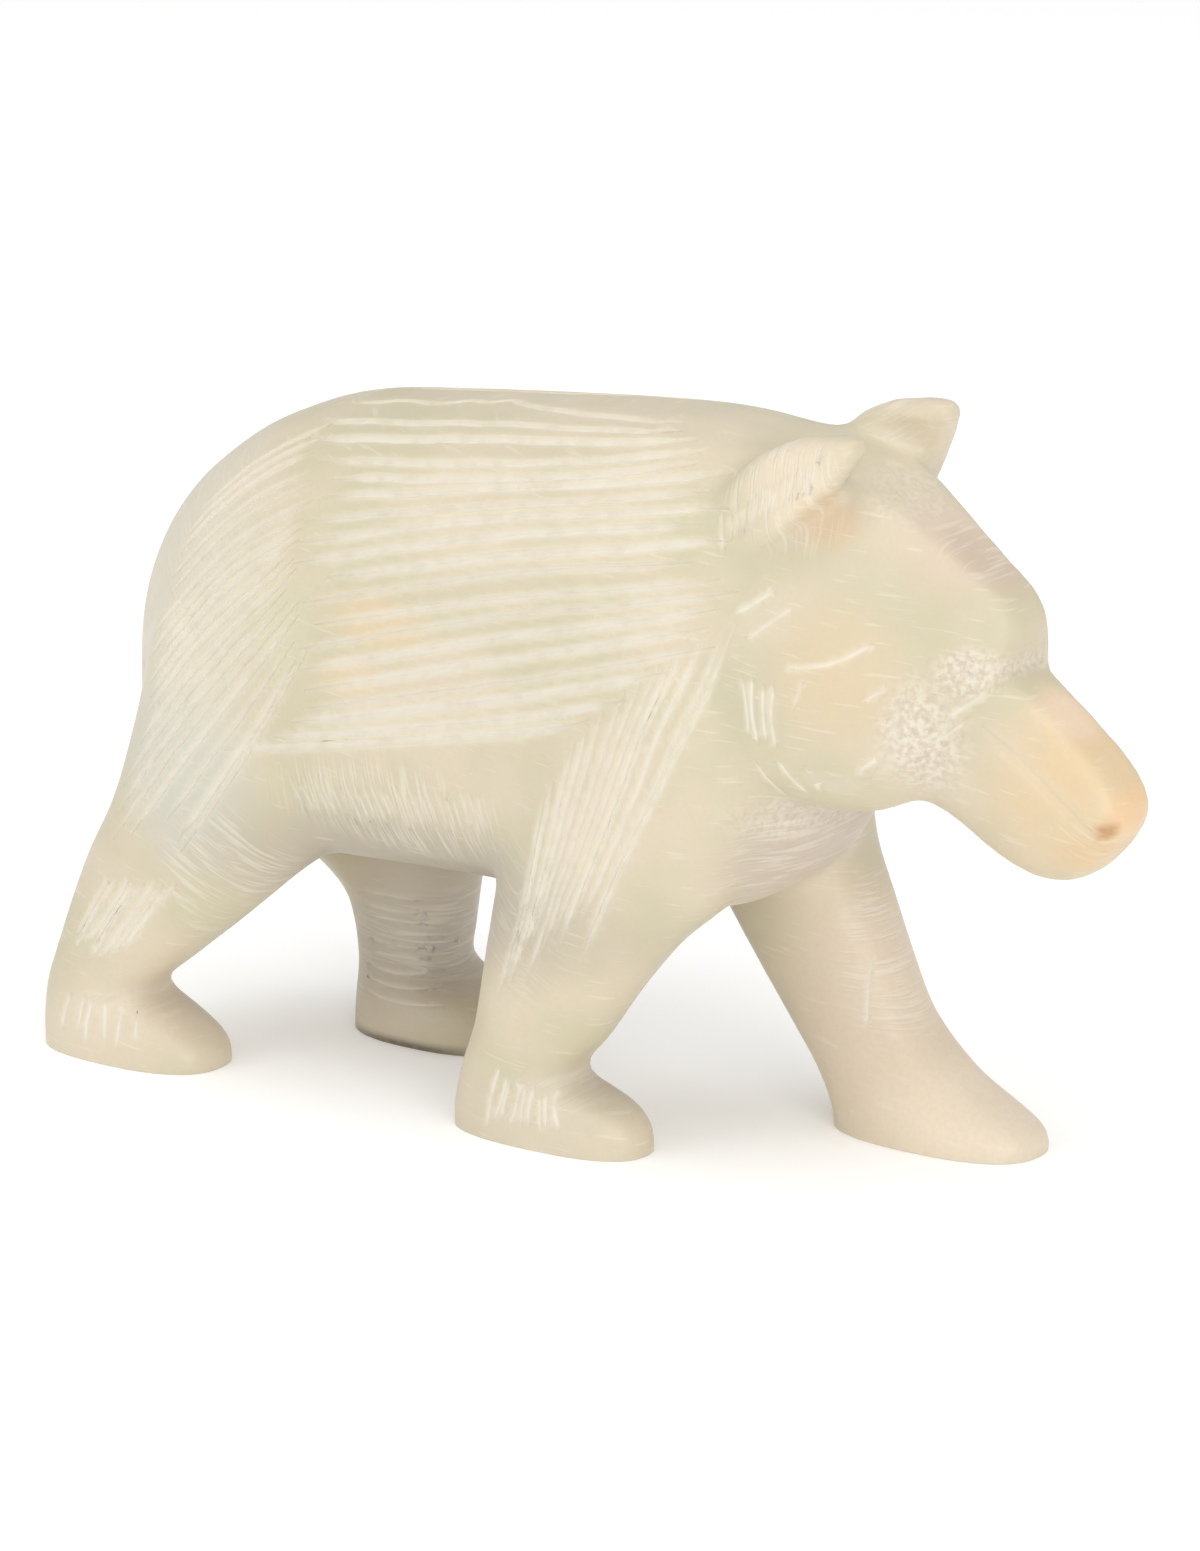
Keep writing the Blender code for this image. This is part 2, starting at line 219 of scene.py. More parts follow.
@dataclass
class Head:
    """Neck, skull and muzzle: rows of top x, top z, bottom x, bottom z and greatest half width."""

    skull: Sequence[Row] = (
        (20, 89.6, 24, 42, 20.4), (27, 90.1, 29, 44.5, 19.2), (33, 89.4, 34, 46, 18.8),
        (38.5, 88.2, 39, 46.4, 18.2), (43.5, 86, 43.5, 46.9, 16.2), (48.5, 82.9, 47.5, 48.6, 13.4),
        (54, 79, 51.2, 50.6, 11), (59, 75.6, 54.4, 54, 9.2), (61.4, 72.2, 57.5, 59, 7), (61, 69.3, 59, 62, 5),
    )
    skull_widths: Sequence[Row] = (
        (0, 0.42), (0.07, 0.54), (0.3, 0.8), (0.58, 1), (0.82, 0.92), (0.93, 0.72), (1, 0.4),
    )
    muzzle: Sequence[Row] = (
        (53, 68.4, 46, 49.4, 8), (60, 66.1, 52.2, 47, 7.2), (66.4, 61.7, 58.6, 43.2, 6.8),
        (71.6, 57.4, 64.4, 41.4, 6.5), (75.1, 53.8, 70, 42.3, 5.6), (76.4, 51, 73.8, 46.2, 3.7),
    )
    muzzle_widths: Sequence[Row] = ((0, 0.6), (0.12, 0.82), (0.35, 1), (0.7, 1), (0.9, 0.78), (1, 0.45))

    def shells(self) -> list[list[Ring]]:
        """Draws the skull, then the muzzle that is set into it below the brow.

        Returns:
            The two shells.
        """
        made = []
        for table, widths in ((self.skull, self.skull_widths), (self.muzzle, self.muzzle_widths)):
            rings = []
            for top_x, top_z, low_x, low_z, half in smoothed(table):
                top, bottom = Vector((top_x, 0, top_z)), Vector((low_x, 0, low_z))
                rings.append(upright(top, bottom, half, lambda share, rows=widths: self.width(rows, share)))
            made.append(rings)
        return made

    def width(self, widths: Sequence[Row], share: float) -> float:
        """Reads a width table.

        Args:
            widths: Rows of share of the height and share of the half width.
            share: Share of the height, counted down from the top.

        Returns:
            The share of the half width there.
        """
        place = next(i for i, row in enumerate(widths[1:]) if share <= row[0])
        low, high = widths[place], widths[place + 1]
        return between(widths, place + (share - low[0]) / (high[0] - low[0]))[1]


@dataclass
class Ears:
    """Two thick flaps that lean in a little towards their rims, each seen from the side as an outline.

    The slices go through a flap's thickness: place from -1 to 1, and size of the outline there.
    """

    middle: float = 11.6
    half_thickness: float = 3.0
    lean: float = -0.24
    slices: Sequence[Row] = ((-1.0, 0.72), (-0.7, 0.93), (0.0, 1.0), (0.7, 0.93), (1.0, 0.72))
    left: Sequence[Row] = (
        (29.5, 79), (25.6, 82.6), (26.6, 86.6), (30.2, 91.2), (35, 93.4), (40.2, 94.4), (43.8, 94.4),
        (44.1, 92.6), (42.2, 88.6), (40, 84.4), (37.5, 80),
    )
    right: Sequence[Row] = (
        (26.5, 77.5), (23.2, 80), (24.8, 85.4), (29.4, 90.6), (34.6, 93.2), (40.2, 94.4), (43.8, 94.4),
        (43.8, 92.2), (40.8, 88), (36.6, 83.6), (31.5, 79),
    )

    def shells(self) -> list[list[Ring]]:
        """Draws the right ear, then the left.

        Returns:
            The two shells.
        """
        made = []
        for side, outline in ((-1, self.right), (1, self.left)):
            centre = sum((Vector((x, 0, z)) for x, z in outline), Vector()) / len(outline)
            rings = []
            for level, size in self.slices:
                ring = []
                for x, z in outline:
                    point = centre + (Vector((x, 0, z)) - centre) * size
                    lean = self.lean * (point.z - centre.z)
                    across = side * (self.middle + lean) + level * self.half_thickness
                    ring.append(Vector((point.x, across, point.z)))
                rings.append(ring)
            made.append(rings)
        return made


def smoothed(rows: Sequence[Row], steps: int = 4) -> list[list[float]]:
    """The rows of a table with more of them in between, so that a loft through them has no hard steps."""
    return [between(rows, i / steps) for i in range((len(rows) - 1) * steps + 1)]


def upright(
    top: Vector, bottom: Vector, half: float, width_at: Callable[[float], float], points: int = 14
) -> Ring:
    """A closed ring in the upright plane through two points.

    Args:
        top: The ring's highest point.
        bottom: Its lowest point.
        half: Greatest half width.
        width_at: Share of the half width at a share of the height.
        points: Points down each flank.

    Returns:
        The ring, down the right side and up the left.
    """
    shares = [0.5 - 0.5 * math.cos(math.pi * (i + 0.5) / points) for i in range(points)]
    right = [top.lerp(bottom, share) + Vector((0, -half * width_at(share), 0)) for share in shares]
    left = [Vector((point.x, -point.y, point.z)) for point in right]
    return right + left[::-1]


@dataclass
class Form:
    """The smooth stone before any tool mark: all masses fused, eased and rubbed flat below."""

    voxel: float = 0.95 * UNIT
    ease_passes: int = 11
    ease_share: float = 0.5
    masses: Sequence[Trunk | Head | Ears | Legs] = field(
        default_factory=lambda: (Trunk(), Head(), Ears(), Legs())
    )

    def build(self) -> bpy.types.Object:
        """Fuses the masses.

        Returns:
            The form as a plain closed mesh object, out of the render.
        """
        bm = bmesh.new()
        for mass in self.masses:
            for rings in mass.shells():
                self.loft(bm, rings)
        rough = mesh_object("masses", bm)
        fuse = rough.modifiers.new("fuse masses", "REMESH")
        fuse.mode = "VOXEL"
        fuse.voxel_size = self.voxel
        ease = rough.modifiers.new("ease creases", "SMOOTH")
        ease.factor = self.ease_share
        ease.iterations = self.ease_passes
        ground = bmesh.new()
        bmesh.ops.create_cube(ground, size=2 * BEAR_LENGTH)
        bmesh.ops.translate(ground, verts=ground.verts, vec=(0, 0, -BEAR_LENGTH))
        rub = rough.modifiers.new("rub soles flat", "BOOLEAN")
        rub.operation = "DIFFERENCE"
        rub.solver = "MANIFOLD"
        rub.object = mesh_object("ground", ground)
        form = applied(rough, "form")
        bpy.data.objects.remove(rub.object)
        bpy.data.objects.remove(rough)
        form.hide_render = True
        LOG.info("form: %d faces", len(form.data.polygons))
        return form

    def loft(self, bm: bmesh.types.BMesh, rings: list[Ring]) -> None:
        """Skins a row of rings with equal counts into one closed shell.

        Args:
            bm: Mesh that the shell is added to.
            rings: The rings in drawn millimetres.
        """
        loops = [[bm.verts.new(placed(point)) for point in ring] for ring in rings]
        faces = [bm.faces.new(loops[0]), bm.faces.new(loops[-1][::-1])]
        count = len(rings[0])
        for lower, upper in zip(loops, loops[1:]):
            for i in range(count):
                j = (i + 1) % count
                faces.append(bm.faces.new((lower[i], lower[j], upper[j], upper[i])))
        bmesh.ops.recalc_face_normals(bm, faces=faces)


def mesh_object(name: str, bm: bmesh.types.BMesh) -> bpy.types.Object:
    """Turns a bmesh into an object in the scene and frees it.

    Args:
        name: Name of the object and its mesh.
        bm: The mesh so far.

    Returns:
        The object.
    """
    mesh = bpy.data.meshes.new(name)
    bm.to_mesh(mesh)
    bm.free()
    made = bpy.data.objects.new(name, mesh)
    bpy.context.scene.collection.objects.link(made)
    return made


def applied(source: bpy.types.Object, name: str) -> bpy.types.Object:
    """A new object that holds the source's evaluated mesh as a plain mesh.

    Args:
        source: Object with its modifiers.
        name: Name of the new object and its mesh.

    Returns:
        The new object, with no modifiers, in the scene.
    """
    graph = bpy.context.evaluated_depsgraph_get()
    mesh = bpy.data.meshes.new_from_object(
        source.evaluated_get(graph), preserve_all_data_layers=True, depsgraph=graph
    )
    mesh.name = name
    made = bpy.data.objects.new(name, mesh)
    bpy.context.scene.collection.objects.link(made)
    return made


class Face(Enum):
    """The side of the bear that a mark is drawn on, as the start of the aim and the aim itself."""

    RIGHT = ("x", -60.0, "z", Vector((0, 1, 0)))
    LEFT = ("x", 60.0, "z", Vector((0, -1, 0)))
    INSIDE_LEFT = ("x", 0.01, "z", Vector((0, 1, 0)))
    BACK = (-110.0, "y", "z", Vector((1, 0, 0)))

    def start(self, u: float, v: float) -> Vector:
        """The point in front of this side where a drawn pair of values lies."""
        pair = iter((u, v))
        return placed(Vector([next(pair) if isinstance(part, str) else part for part in self.value[:3]]))

    @property
    def aim(self) -> Vector:
        """Direction from the drawing to the stone."""
        return self.value[3]


@dataclass(frozen=True)
class Hatch:
    """A row of like strokes, each from a place along one guide line to the same place along another."""

    face: Face
    first: tuple[float, float, float, float]
    second: tuple[float, float, float, float]
    count: int
    stray: float = 0.35
    bow: float = 0.05

    def strokes(self, dice: random.Random) -> list[list[tuple[float, float]]]:
        """Draws the row.

        Args:
            dice: Seeded source of the small differences between strokes.

        Returns:
            One path of three points for each stroke.
        """
        made = []
        for i in range(self.count):
            share = (i + 0.5) / self.count
            ends = []
            for x0, z0, x1, z1 in (self.first, self.second):
                slip = share + dice.uniform(-self.stray, self.stray) / self.count
                ends.append(Vector((x0 + (x1 - x0) * slip, z0 + (z1 - z0) * slip)))
            trim = dice.uniform(0.0, 0.22), dice.uniform(0.78, 1.0)
            start, end = (ends[0].lerp(ends[1], part) for part in trim)
            bow = Vector((start.y - end.y, end.x - start.x)) * dice.uniform(-self.bow, self.bow)
            made.append([tuple(start), tuple((start + end) / 2 + bow), tuple(end)])
        return made


@dataclass(frozen=True)
class Fan:
    """Strokes spread evenly between a few guide strokes of three pairs each.

    Shares of half a stroke say how far it may start early or late, and how far it may stop short.
    """

    guides: Sequence[Row]
    count: int
    stray: float = 0.22
    early: float = 0.06
    late: float = 0.12
    short: float = 0.4

    def strokes(self, seed: int) -> list[Row]:
        """Draws the fan.

        Args:
            seed: Fixes the small differences between strokes.

        Returns:
            The strokes, three pairs in each.
        """
        dice = random.Random(seed)
        last = len(self.guides) - 1
        made = []
        for i in range(self.count):
            place = last * (i + dice.uniform(-self.stray, self.stray)) / (self.count - 1)
            x0, z0, x1, z1, x2, z2 = between(self.guides, min(max(place, 0.0), last))
            near, far = dice.uniform(-self.early, self.late), dice.uniform(0.0, self.short)
            start = (x0 + (x1 - x0) * near, z0 + (z1 - z0) * near)
            end = (x2 + (x1 - x2) * far, z2 + (z1 - z2) * far)
            made.append((*start, x1, z1, *end))
        return made


@dataclass
class Marks:
    """One family of tool marks: what the tool is like, and where it was drawn over the stone.

    Width, depth, wobble and step are drawn millimetres. The run-out is the share of a stroke over which the
    tool rises at each end, and chalk is how white the fresh cut is.
    """

    name: str
    width: float
    depth: float
    chalk: float
    seed: int
    wobble: float = 0.2
    run_out: float = 0.16
    step: float = 1.0
    spans: int = 4
    weights: tuple[float, float] = (0.78, 1.12)
    paths: list[tuple[Face, list[tuple[float, float]]]] = field(default_factory=list)

    def trace(self, face: Face, rows: Sequence[Row]) -> "Marks":
        """Adds strokes given point by point.

        Args:
            face: The side they are drawn on.
            rows: Two or three pairs of values in each row.

        Returns:
            The family itself.
        """
        self.paths += [(face, list(zip(row[::2], row[1::2]))) for row in rows]
        return self

    def hatch(self, *rows: Hatch) -> "Marks":
        """Adds rows of like strokes.

        Args:
            rows: The rows.

        Returns:
            The family itself.
        """
        for number, row in enumerate(rows):
            dice = random.Random(self.seed * 100 + number)
            self.paths += [(row.face, path) for path in row.strokes(dice)]
        return self

    def draw(self) -> bpy.types.Object:
        """Draws the strokes in front of the stone.

        Returns:
            A mesh of edges only, with the aim and the weight of each stroke as attributes.
        """
        dice = random.Random(self.seed)
        points, edges, aims, weights = [], [], [], []
        for face, path in self.paths:
            weight = dice.uniform(*self.weights)
            spans = self.spans * (len(path) - 1)
            for i in range(spans + 1):
                u, v = between(path, (len(path) - 1) * i / spans)
                if i:
                    edges.append((len(points) - 1, len(points)))
                points.append(face.start(u, v))
                aims.extend(face.aim)
                weights.append(weight)
        mesh = bpy.data.meshes.new(self.name)
        mesh.from_pydata(points, edges, [])
        mesh.attributes.new("aim", "FLOAT_VECTOR", "POINT").data.foreach_set("vector", aims)
        mesh.attributes.new("weight", "FLOAT", "POINT").data.foreach_set("value", weights)
        drawing = bpy.data.objects.new(self.name, mesh)
        bpy.context.scene.collection.objects.link(drawing)
        drawing.hide_render = True
        return drawing


@dataclass
class Bench:
    """A node tree with short calls for adding and wiring nodes."""

    tree: bpy.types.NodeTree

    def node(self, kind: str, **values: object) -> bpy.types.Node:
        """Adds a node.

        Args:
            kind: The node's type.
            values: Properties by their names in small letters, and sockets to link or set by theirs, with _
                for a space.

        Returns:
            The node.
        """
        made = self.tree.nodes.new(kind)
        for name, value in values.items():
            if name.islower():
                setattr(made, name, value)
        for name, value in values.items():
            if not name.islower():
                self.put(value, made.inputs[name.replace("_", " ")])
        return made

    def put(self, value: object, socket: Socket) -> None:
        """Links a socket to another, or gives it a plain value.

        Args:
            value: A socket or a value.
            socket: The socket that takes it.
        """
        if isinstance(value, bpy.types.NodeSocket):
            self.tree.links.new(value, socket)
        else:
            socket.default_value = value

    def math(self, operation: str, first: object, second: object) -> Socket:
        """Adds a math node.

        Args:
            operation: The node's operation.
            first: A value or a socket.
            second: Another.

        Returns:
            The result.
        """
        made = self.node("ShaderNodeMath", operation=operation)
        self.put(first, made.inputs[0])
        self.put(second, made.inputs[1])
        return made.outputs[0]


@dataclass
class GougeTree(Bench):
    """The geometry node tree that cuts one family of drawn marks into the stone.

    The tool's section is given in shares of the marks' width and depth: half its mouth, half its flat keel,
    and how far it stands above the stone. The least bite is what is left at a stroke's very ends. The white
    fades between two shares of the width, and the hand shakes so many times in a metre.
    """

    inputs: dict[str, str] = field(default_factory=dict)
    shakes: float = 150.0
    mouth: float = 0.95
    flat: float = 0.06
    lift: float = 0.9
    least_bite: float = 0.2
    white_to: float = 0.1
    white_from: float = 0.95

    def build(self) -> "GougeTree":
        """Gives the tree its named inputs and its nodes.

        Returns:
            Itself.
        """
        kinds = {"Stone": "Geometry", "Marks": "Object", "Form": "Object", "Material": "Material"}
        kinds |= {name: "Float" for name in ("Width", "Depth", "Step", "Wobble", "Run-out", "Chalk", "Seed")}
        for name, kind in kinds.items():
            self.tree.interface.new_socket(name, in_out="INPUT", socket_type=f"NodeSocket{kind}")
        self.tree.interface.new_socket("Stone", in_out="OUTPUT", socket_type="NodeSocketGeometry")
        self.inputs = {i.name: i.identifier for i in self.tree.interface.items_tree if i.in_out == "INPUT"}
        given = self.node("NodeGroupInput").outputs
        curve, rise = self.lay(given)
        scale = self.taper(given)
        cut = self.node("GeometryNodeMeshBoolean", operation="DIFFERENCE", solver="MANIFOLD")
        self.put(given["Stone"], cut.inputs["Mesh 1"])
        self.put(self.sweep(given, curve, scale), cut.inputs["Mesh 2"])
        marked = self.whiten(given, cut.outputs["Mesh"], self.keel(given, curve, rise, scale))
        real = self.node("GeometryNodeRealizeInstances", Geometry=marked).outputs[0]
        dressed = self.node("GeometryNodeSetMaterial", Geometry=real, Material=given["Material"])
        self.put(dressed.outputs[0], self.node("NodeGroupOutput").inputs["Stone"])
        return self

    def lay(self, given: bpy.types.NodeOutputs) -> tuple[Socket, Socket]:
        """Throws the drawn strokes onto the smooth form with a hand's unsteadiness.

        Args:
            given: The tree's inputs.

        Returns:
            The curves on the stone, and the stone's outward direction at each of their points.
        """
        drawn = self.node("GeometryNodeObjectInfo", Object=given["Marks"]).outputs["Geometry"]
        form = self.node("GeometryNodeObjectInfo", Object=given["Form"]).outputs["Geometry"]
        curve = self.node("GeometryNodeMeshToCurve", Mesh=drawn).outputs["Curve"]
        even = self.node("GeometryNodeResampleCurve", mode="LENGTH", Curve=curve, Length=given["Step"])
        place = self.node("GeometryNodeInputPosition").outputs[0]
        shake = self.node(
            "ShaderNodeTexNoise", noise_dimensions="4D", Vector=place, W=given["Seed"], Scale=self.shakes
        )
        level = self.vector("SUBTRACT", shake.outputs["Color"], (0.5, 0.5, 0.5))
        moved = self.vector("SCALE", level, scale=self.math("MULTIPLY", given["Wobble"], 2.0))
        aim = self.attribute("aim", "FLOAT_VECTOR")
        cast = self.node(
            "GeometryNodeRaycast", Target_Geometry=form, Ray_Direction=aim, Ray_Length=2 * BEAR_LENGTH
        )
        self.put(self.vector("ADD", place, moved), cast.inputs["Source Position"])
        kept = self.stored(even.outputs[0], "rise", "FLOAT_VECTOR", cast.outputs["Hit Normal"])
        kept = self.stored(kept, "struck", "FLOAT", cast.outputs["Is Hit"])
        laid = self.node("GeometryNodeSetPosition", Geometry=kept, Position=cast.outputs["Hit Position"])
        missed = self.math("LESS_THAN", self.attribute("struck", "FLOAT"), 0.5)
        struck = self.node(
            "GeometryNodeDeleteGeometry", domain="POINT", Geometry=laid.outputs[0], Selection=missed
        )
        rise = self.attribute("rise", "FLOAT_VECTOR")
        turned = self.node("GeometryNodeSetCurveNormal", mode="FREE", Curve=struck.outputs[0], Normal=rise)
        return turned.outputs[0], rise

    def taper(self, given: bpy.types.NodeOutputs) -> Socket:
        """Lets the tool's bite die away at both ends of a stroke.

        Args:
            given: The tree's inputs.

        Returns:
            Size of the bite along the stroke.
        """
        along = self.node("GeometryNodeSplineParameter").outputs["Factor"]
        end = self.math("MINIMUM", along, self.math("SUBTRACT", 1.0, along))
        deeper = self.math("DIVIDE", end, given["Run-out"])
        bite = self.math("MINIMUM", 1.0, self.math("ADD", self.least_bite, deeper))
        return self.math("MULTIPLY", bite, self.attribute("weight", "FLOAT"))

    def sweep(self, given: bpy.types.NodeOutputs, curve: Socket, scale: Socket) -> Socket:
        """The tool's path as a closed solid with a narrow flat keel.

        Args:
            given: The tree's inputs.
            curve: Strokes on the stone.
            scale: Size of the bite.

        Returns:
            The solid.
        """
        lift = self.math("MULTIPLY", given["Depth"], self.lift)
        mouth = self.math("MULTIPLY", given["Width"], self.mouth)
        sunk = self.math("MULTIPLY", given["Depth"], -1.0)
        keel = self.math("MULTIPLY", given["Width"], self.flat)
        shape = self.node("GeometryNodeCurvePrimitiveQuadrilateral", mode="POINTS")
        corners = ((lift, mouth, 1), (lift, mouth, -1), (sunk, keel, -1), (sunk, keel, 1))
        for number, (up, across, side) in enumerate(corners, 1):
            corner = self.node("ShaderNodeCombineXYZ", X=up, Y=self.math("MULTIPLY", across, float(side)))
            self.put(corner.outputs[0], shape.inputs[f"Point {number}"])
        swept = self.node("GeometryNodeCurveToMesh", Curve=curve, Profile_Curve=shape.outputs[0], Scale=scale)
        swept.inputs["Fill Caps"].default_value = True
        return self.node("GeometryNodeFlipFaces", Mesh=swept.outputs["Mesh"]).outputs[0]

    def keel(self, given: bpy.types.NodeOutputs, curve: Socket, rise: Socket, scale: Socket) -> Socket:
        """The line along the bottom of each stroke.

        Args:
            given: The tree's inputs.
            curve: Strokes on the stone.
            rise: The stone's outward direction.
            scale: Size of the bite.

        Returns:
            A mesh of edges.
        """
        bite = self.math("MULTIPLY", given["Depth"], scale)
        sunk = self.vector("SCALE", rise, scale=self.math("MULTIPLY", bite, -1.0))
        low = self.node("GeometryNodeSetPosition", Geometry=curve, Offset=sunk).outputs[0]
        kept = self.stored(low, "bite", "FLOAT", scale)
        return self.node("GeometryNodeCurveToMesh", Curve=kept).outputs["Mesh"]

    def whiten(self, given: bpy.types.NodeOutputs, stone: Socket, keel: Socket) -> Socket:
        """Keeps how chalky the stone is near each stroke as an attribute, on top of what is there already.

        Args:
            given: The tree's inputs.
            stone: The cut stone.
            keel: The line along the bottom of each stroke.

        Returns:
            The stone with its attribute.
        """
        near = self.node("GeometryNodeProximity", target_element="EDGES", Geometry=keel).outputs["Distance"]
        beside = self.node("GeometryNodeSampleNearest", domain="POINT", Geometry=keel).outputs["Index"]
        kept = self.attribute("bite", "FLOAT")
        sampled = self.node(
            "GeometryNodeSampleIndex", data_type="FLOAT", Geometry=keel, Value=kept, Index=beside
        )
        bite = sampled.outputs[0]
        away = self.math("DIVIDE", near, self.math("MULTIPLY", given["Width"], bite))
        fade = self.node("ShaderNodeMapRange", interpolation_type="SMOOTHSTEP", Value=away)
        limits = {"From Min": self.white_to, "From Max": self.white_from, "To Min": 1.0, "To Max": 0.0}
        for name, value in limits.items():
            fade.inputs[name].default_value = value
        strength = self.math("MULTIPLY", given["Chalk"], self.math("MINIMUM", 1.0, bite))
        fresh = self.math("MULTIPLY", fade.outputs["Result"], strength)
        whitest = self.math("MAXIMUM", fresh, self.attribute("chalk", "FLOAT"))
        return self.stored(stone, "chalk", "FLOAT", whitest)

    def vector(
        self, operation: str, first: object, second: object = None, scale: Socket | None = None
    ) -> Socket:
        """Adds a vector math node.

        Args:
            operation: The node's operation.
            first: A vector or a socket.
            second: Another, where the operation takes two.
            scale: The factor, where it scales.

        Returns:
            The resulting vector.
        """
        made = self.node("ShaderNodeVectorMath", operation=operation)
        self.put(first, made.inputs[0])
        if second is not None:
            self.put(second, made.inputs[1])
        if scale is not None:
            self.put(scale, made.inputs["Scale"])
        return made.outputs[0]

    def attribute(self, name: str, kind: str) -> Socket:
        """Reads a named attribute of a data type."""
        return self.node("GeometryNodeInputNamedAttribute", data_type=kind, Name=name).outputs["Attribute"]

    def stored(self, geometry: Socket, name: str, kind: str, value: Socket) -> Socket:
        """Keeps a value on a geometry's points.

        Args:
            geometry: The geometry.
            name: Name that the value is kept under.
            kind: Its data type.
            value: The value.

        Returns:
            The geometry with the value.
        """
        made = self.node("GeometryNodeStoreNamedAttribute", data_type=kind, domain="POINT", Name=name)
        self.put(geometry, made.inputs["Geometry"])
        self.put(value, made.inputs["Value"])
        return made.outputs[0]

    def cut(
        self, stone: bpy.types.Object, form: bpy.types.Object, marks: Marks, material: bpy.types.Material
    ) -> None:
        """Puts the tree on the stone for one family of marks.

        Args:
            stone: The object that is cut.
            form: The smooth form that strokes are thrown onto.
            marks: The family.
            material: Finish of the stone.
        """
        values = {"Marks": marks.draw(), "Form": form, "Material": material}
        values |= {"Width": marks.width * UNIT, "Depth": marks.depth * UNIT, "Step": marks.step * UNIT}
        values |= {"Wobble": marks.wobble * UNIT, "Run-out": marks.run_out}
        values |= {"Chalk": marks.chalk, "Seed": float(marks.seed)}
        modifier = stone.modifiers.new(marks.name, "NODES")
        modifier.node_group = self.tree
        for name, value in values.items():
            modifier[self.inputs[name]] = value


def share_near(points: np.ndarray, middle: Row, reach: Row, edge: float) -> np.ndarray:
    """How far places belong to a soft round region.

    Args:
        points: Places in metres, one in each row.
        middle: Middle of the region in drawn millimetres.
        reach: Its reach along each axis in drawn millimetres.
        edge: Share of the reach inside which a place belongs to it fully.

    Returns:
        A share from 0 to 1 for each place.
    """
    away = (points - np.array(placed(Vector(middle)))) / (np.array(reach) * UNIT)
    part = np.clip((1.0 - np.linalg.norm(away, axis=1)) / (1.0 - edge), 0.0, 1.0)
    return part * part * (3.0 - 2.0 * part)


@dataclass(frozen=True)
class Torn:
    """A region left rough and crumbly: middle and reach in drawn millimetres."""

    middle: tuple[float, float, float]
    reach: tuple[float, float, float]
    strength: float
    edge: float


@dataclass(frozen=True)
class Patch:
    """A soft region of the stone painted with a colour, in most the stone's own tone and in a few painted
    shade or painted highlight: middle and reach in drawn millimetres.
    """

    middle: tuple[float, float, float]
    reach: tuple[float, float, float]
    colour: tuple[int, int, int]
    strength: float = 1.0
    edge: float = 0.35


class Lay(Enum):
    """The way a file was held: its channel, its strokes' turn about y in degrees and their pitch."""

    UPRIGHT = (0, 5.0, 0.4)
    SLANTED = (1, 57.0, 0.5)
    LEVEL = (2, 86.0, 0.45)
    CROSSED = (3, -58.0, 0.5)


@dataclass(frozen=True)
class Filing:
    """A region left by the file: middle and reach in drawn millimetres, and the way the file was held."""

    middle: tuple[float, float, float]
    reach: tuple[float, float, float]
    lay: Lay
    strength: float = 1.0
    edge: float = 0.6


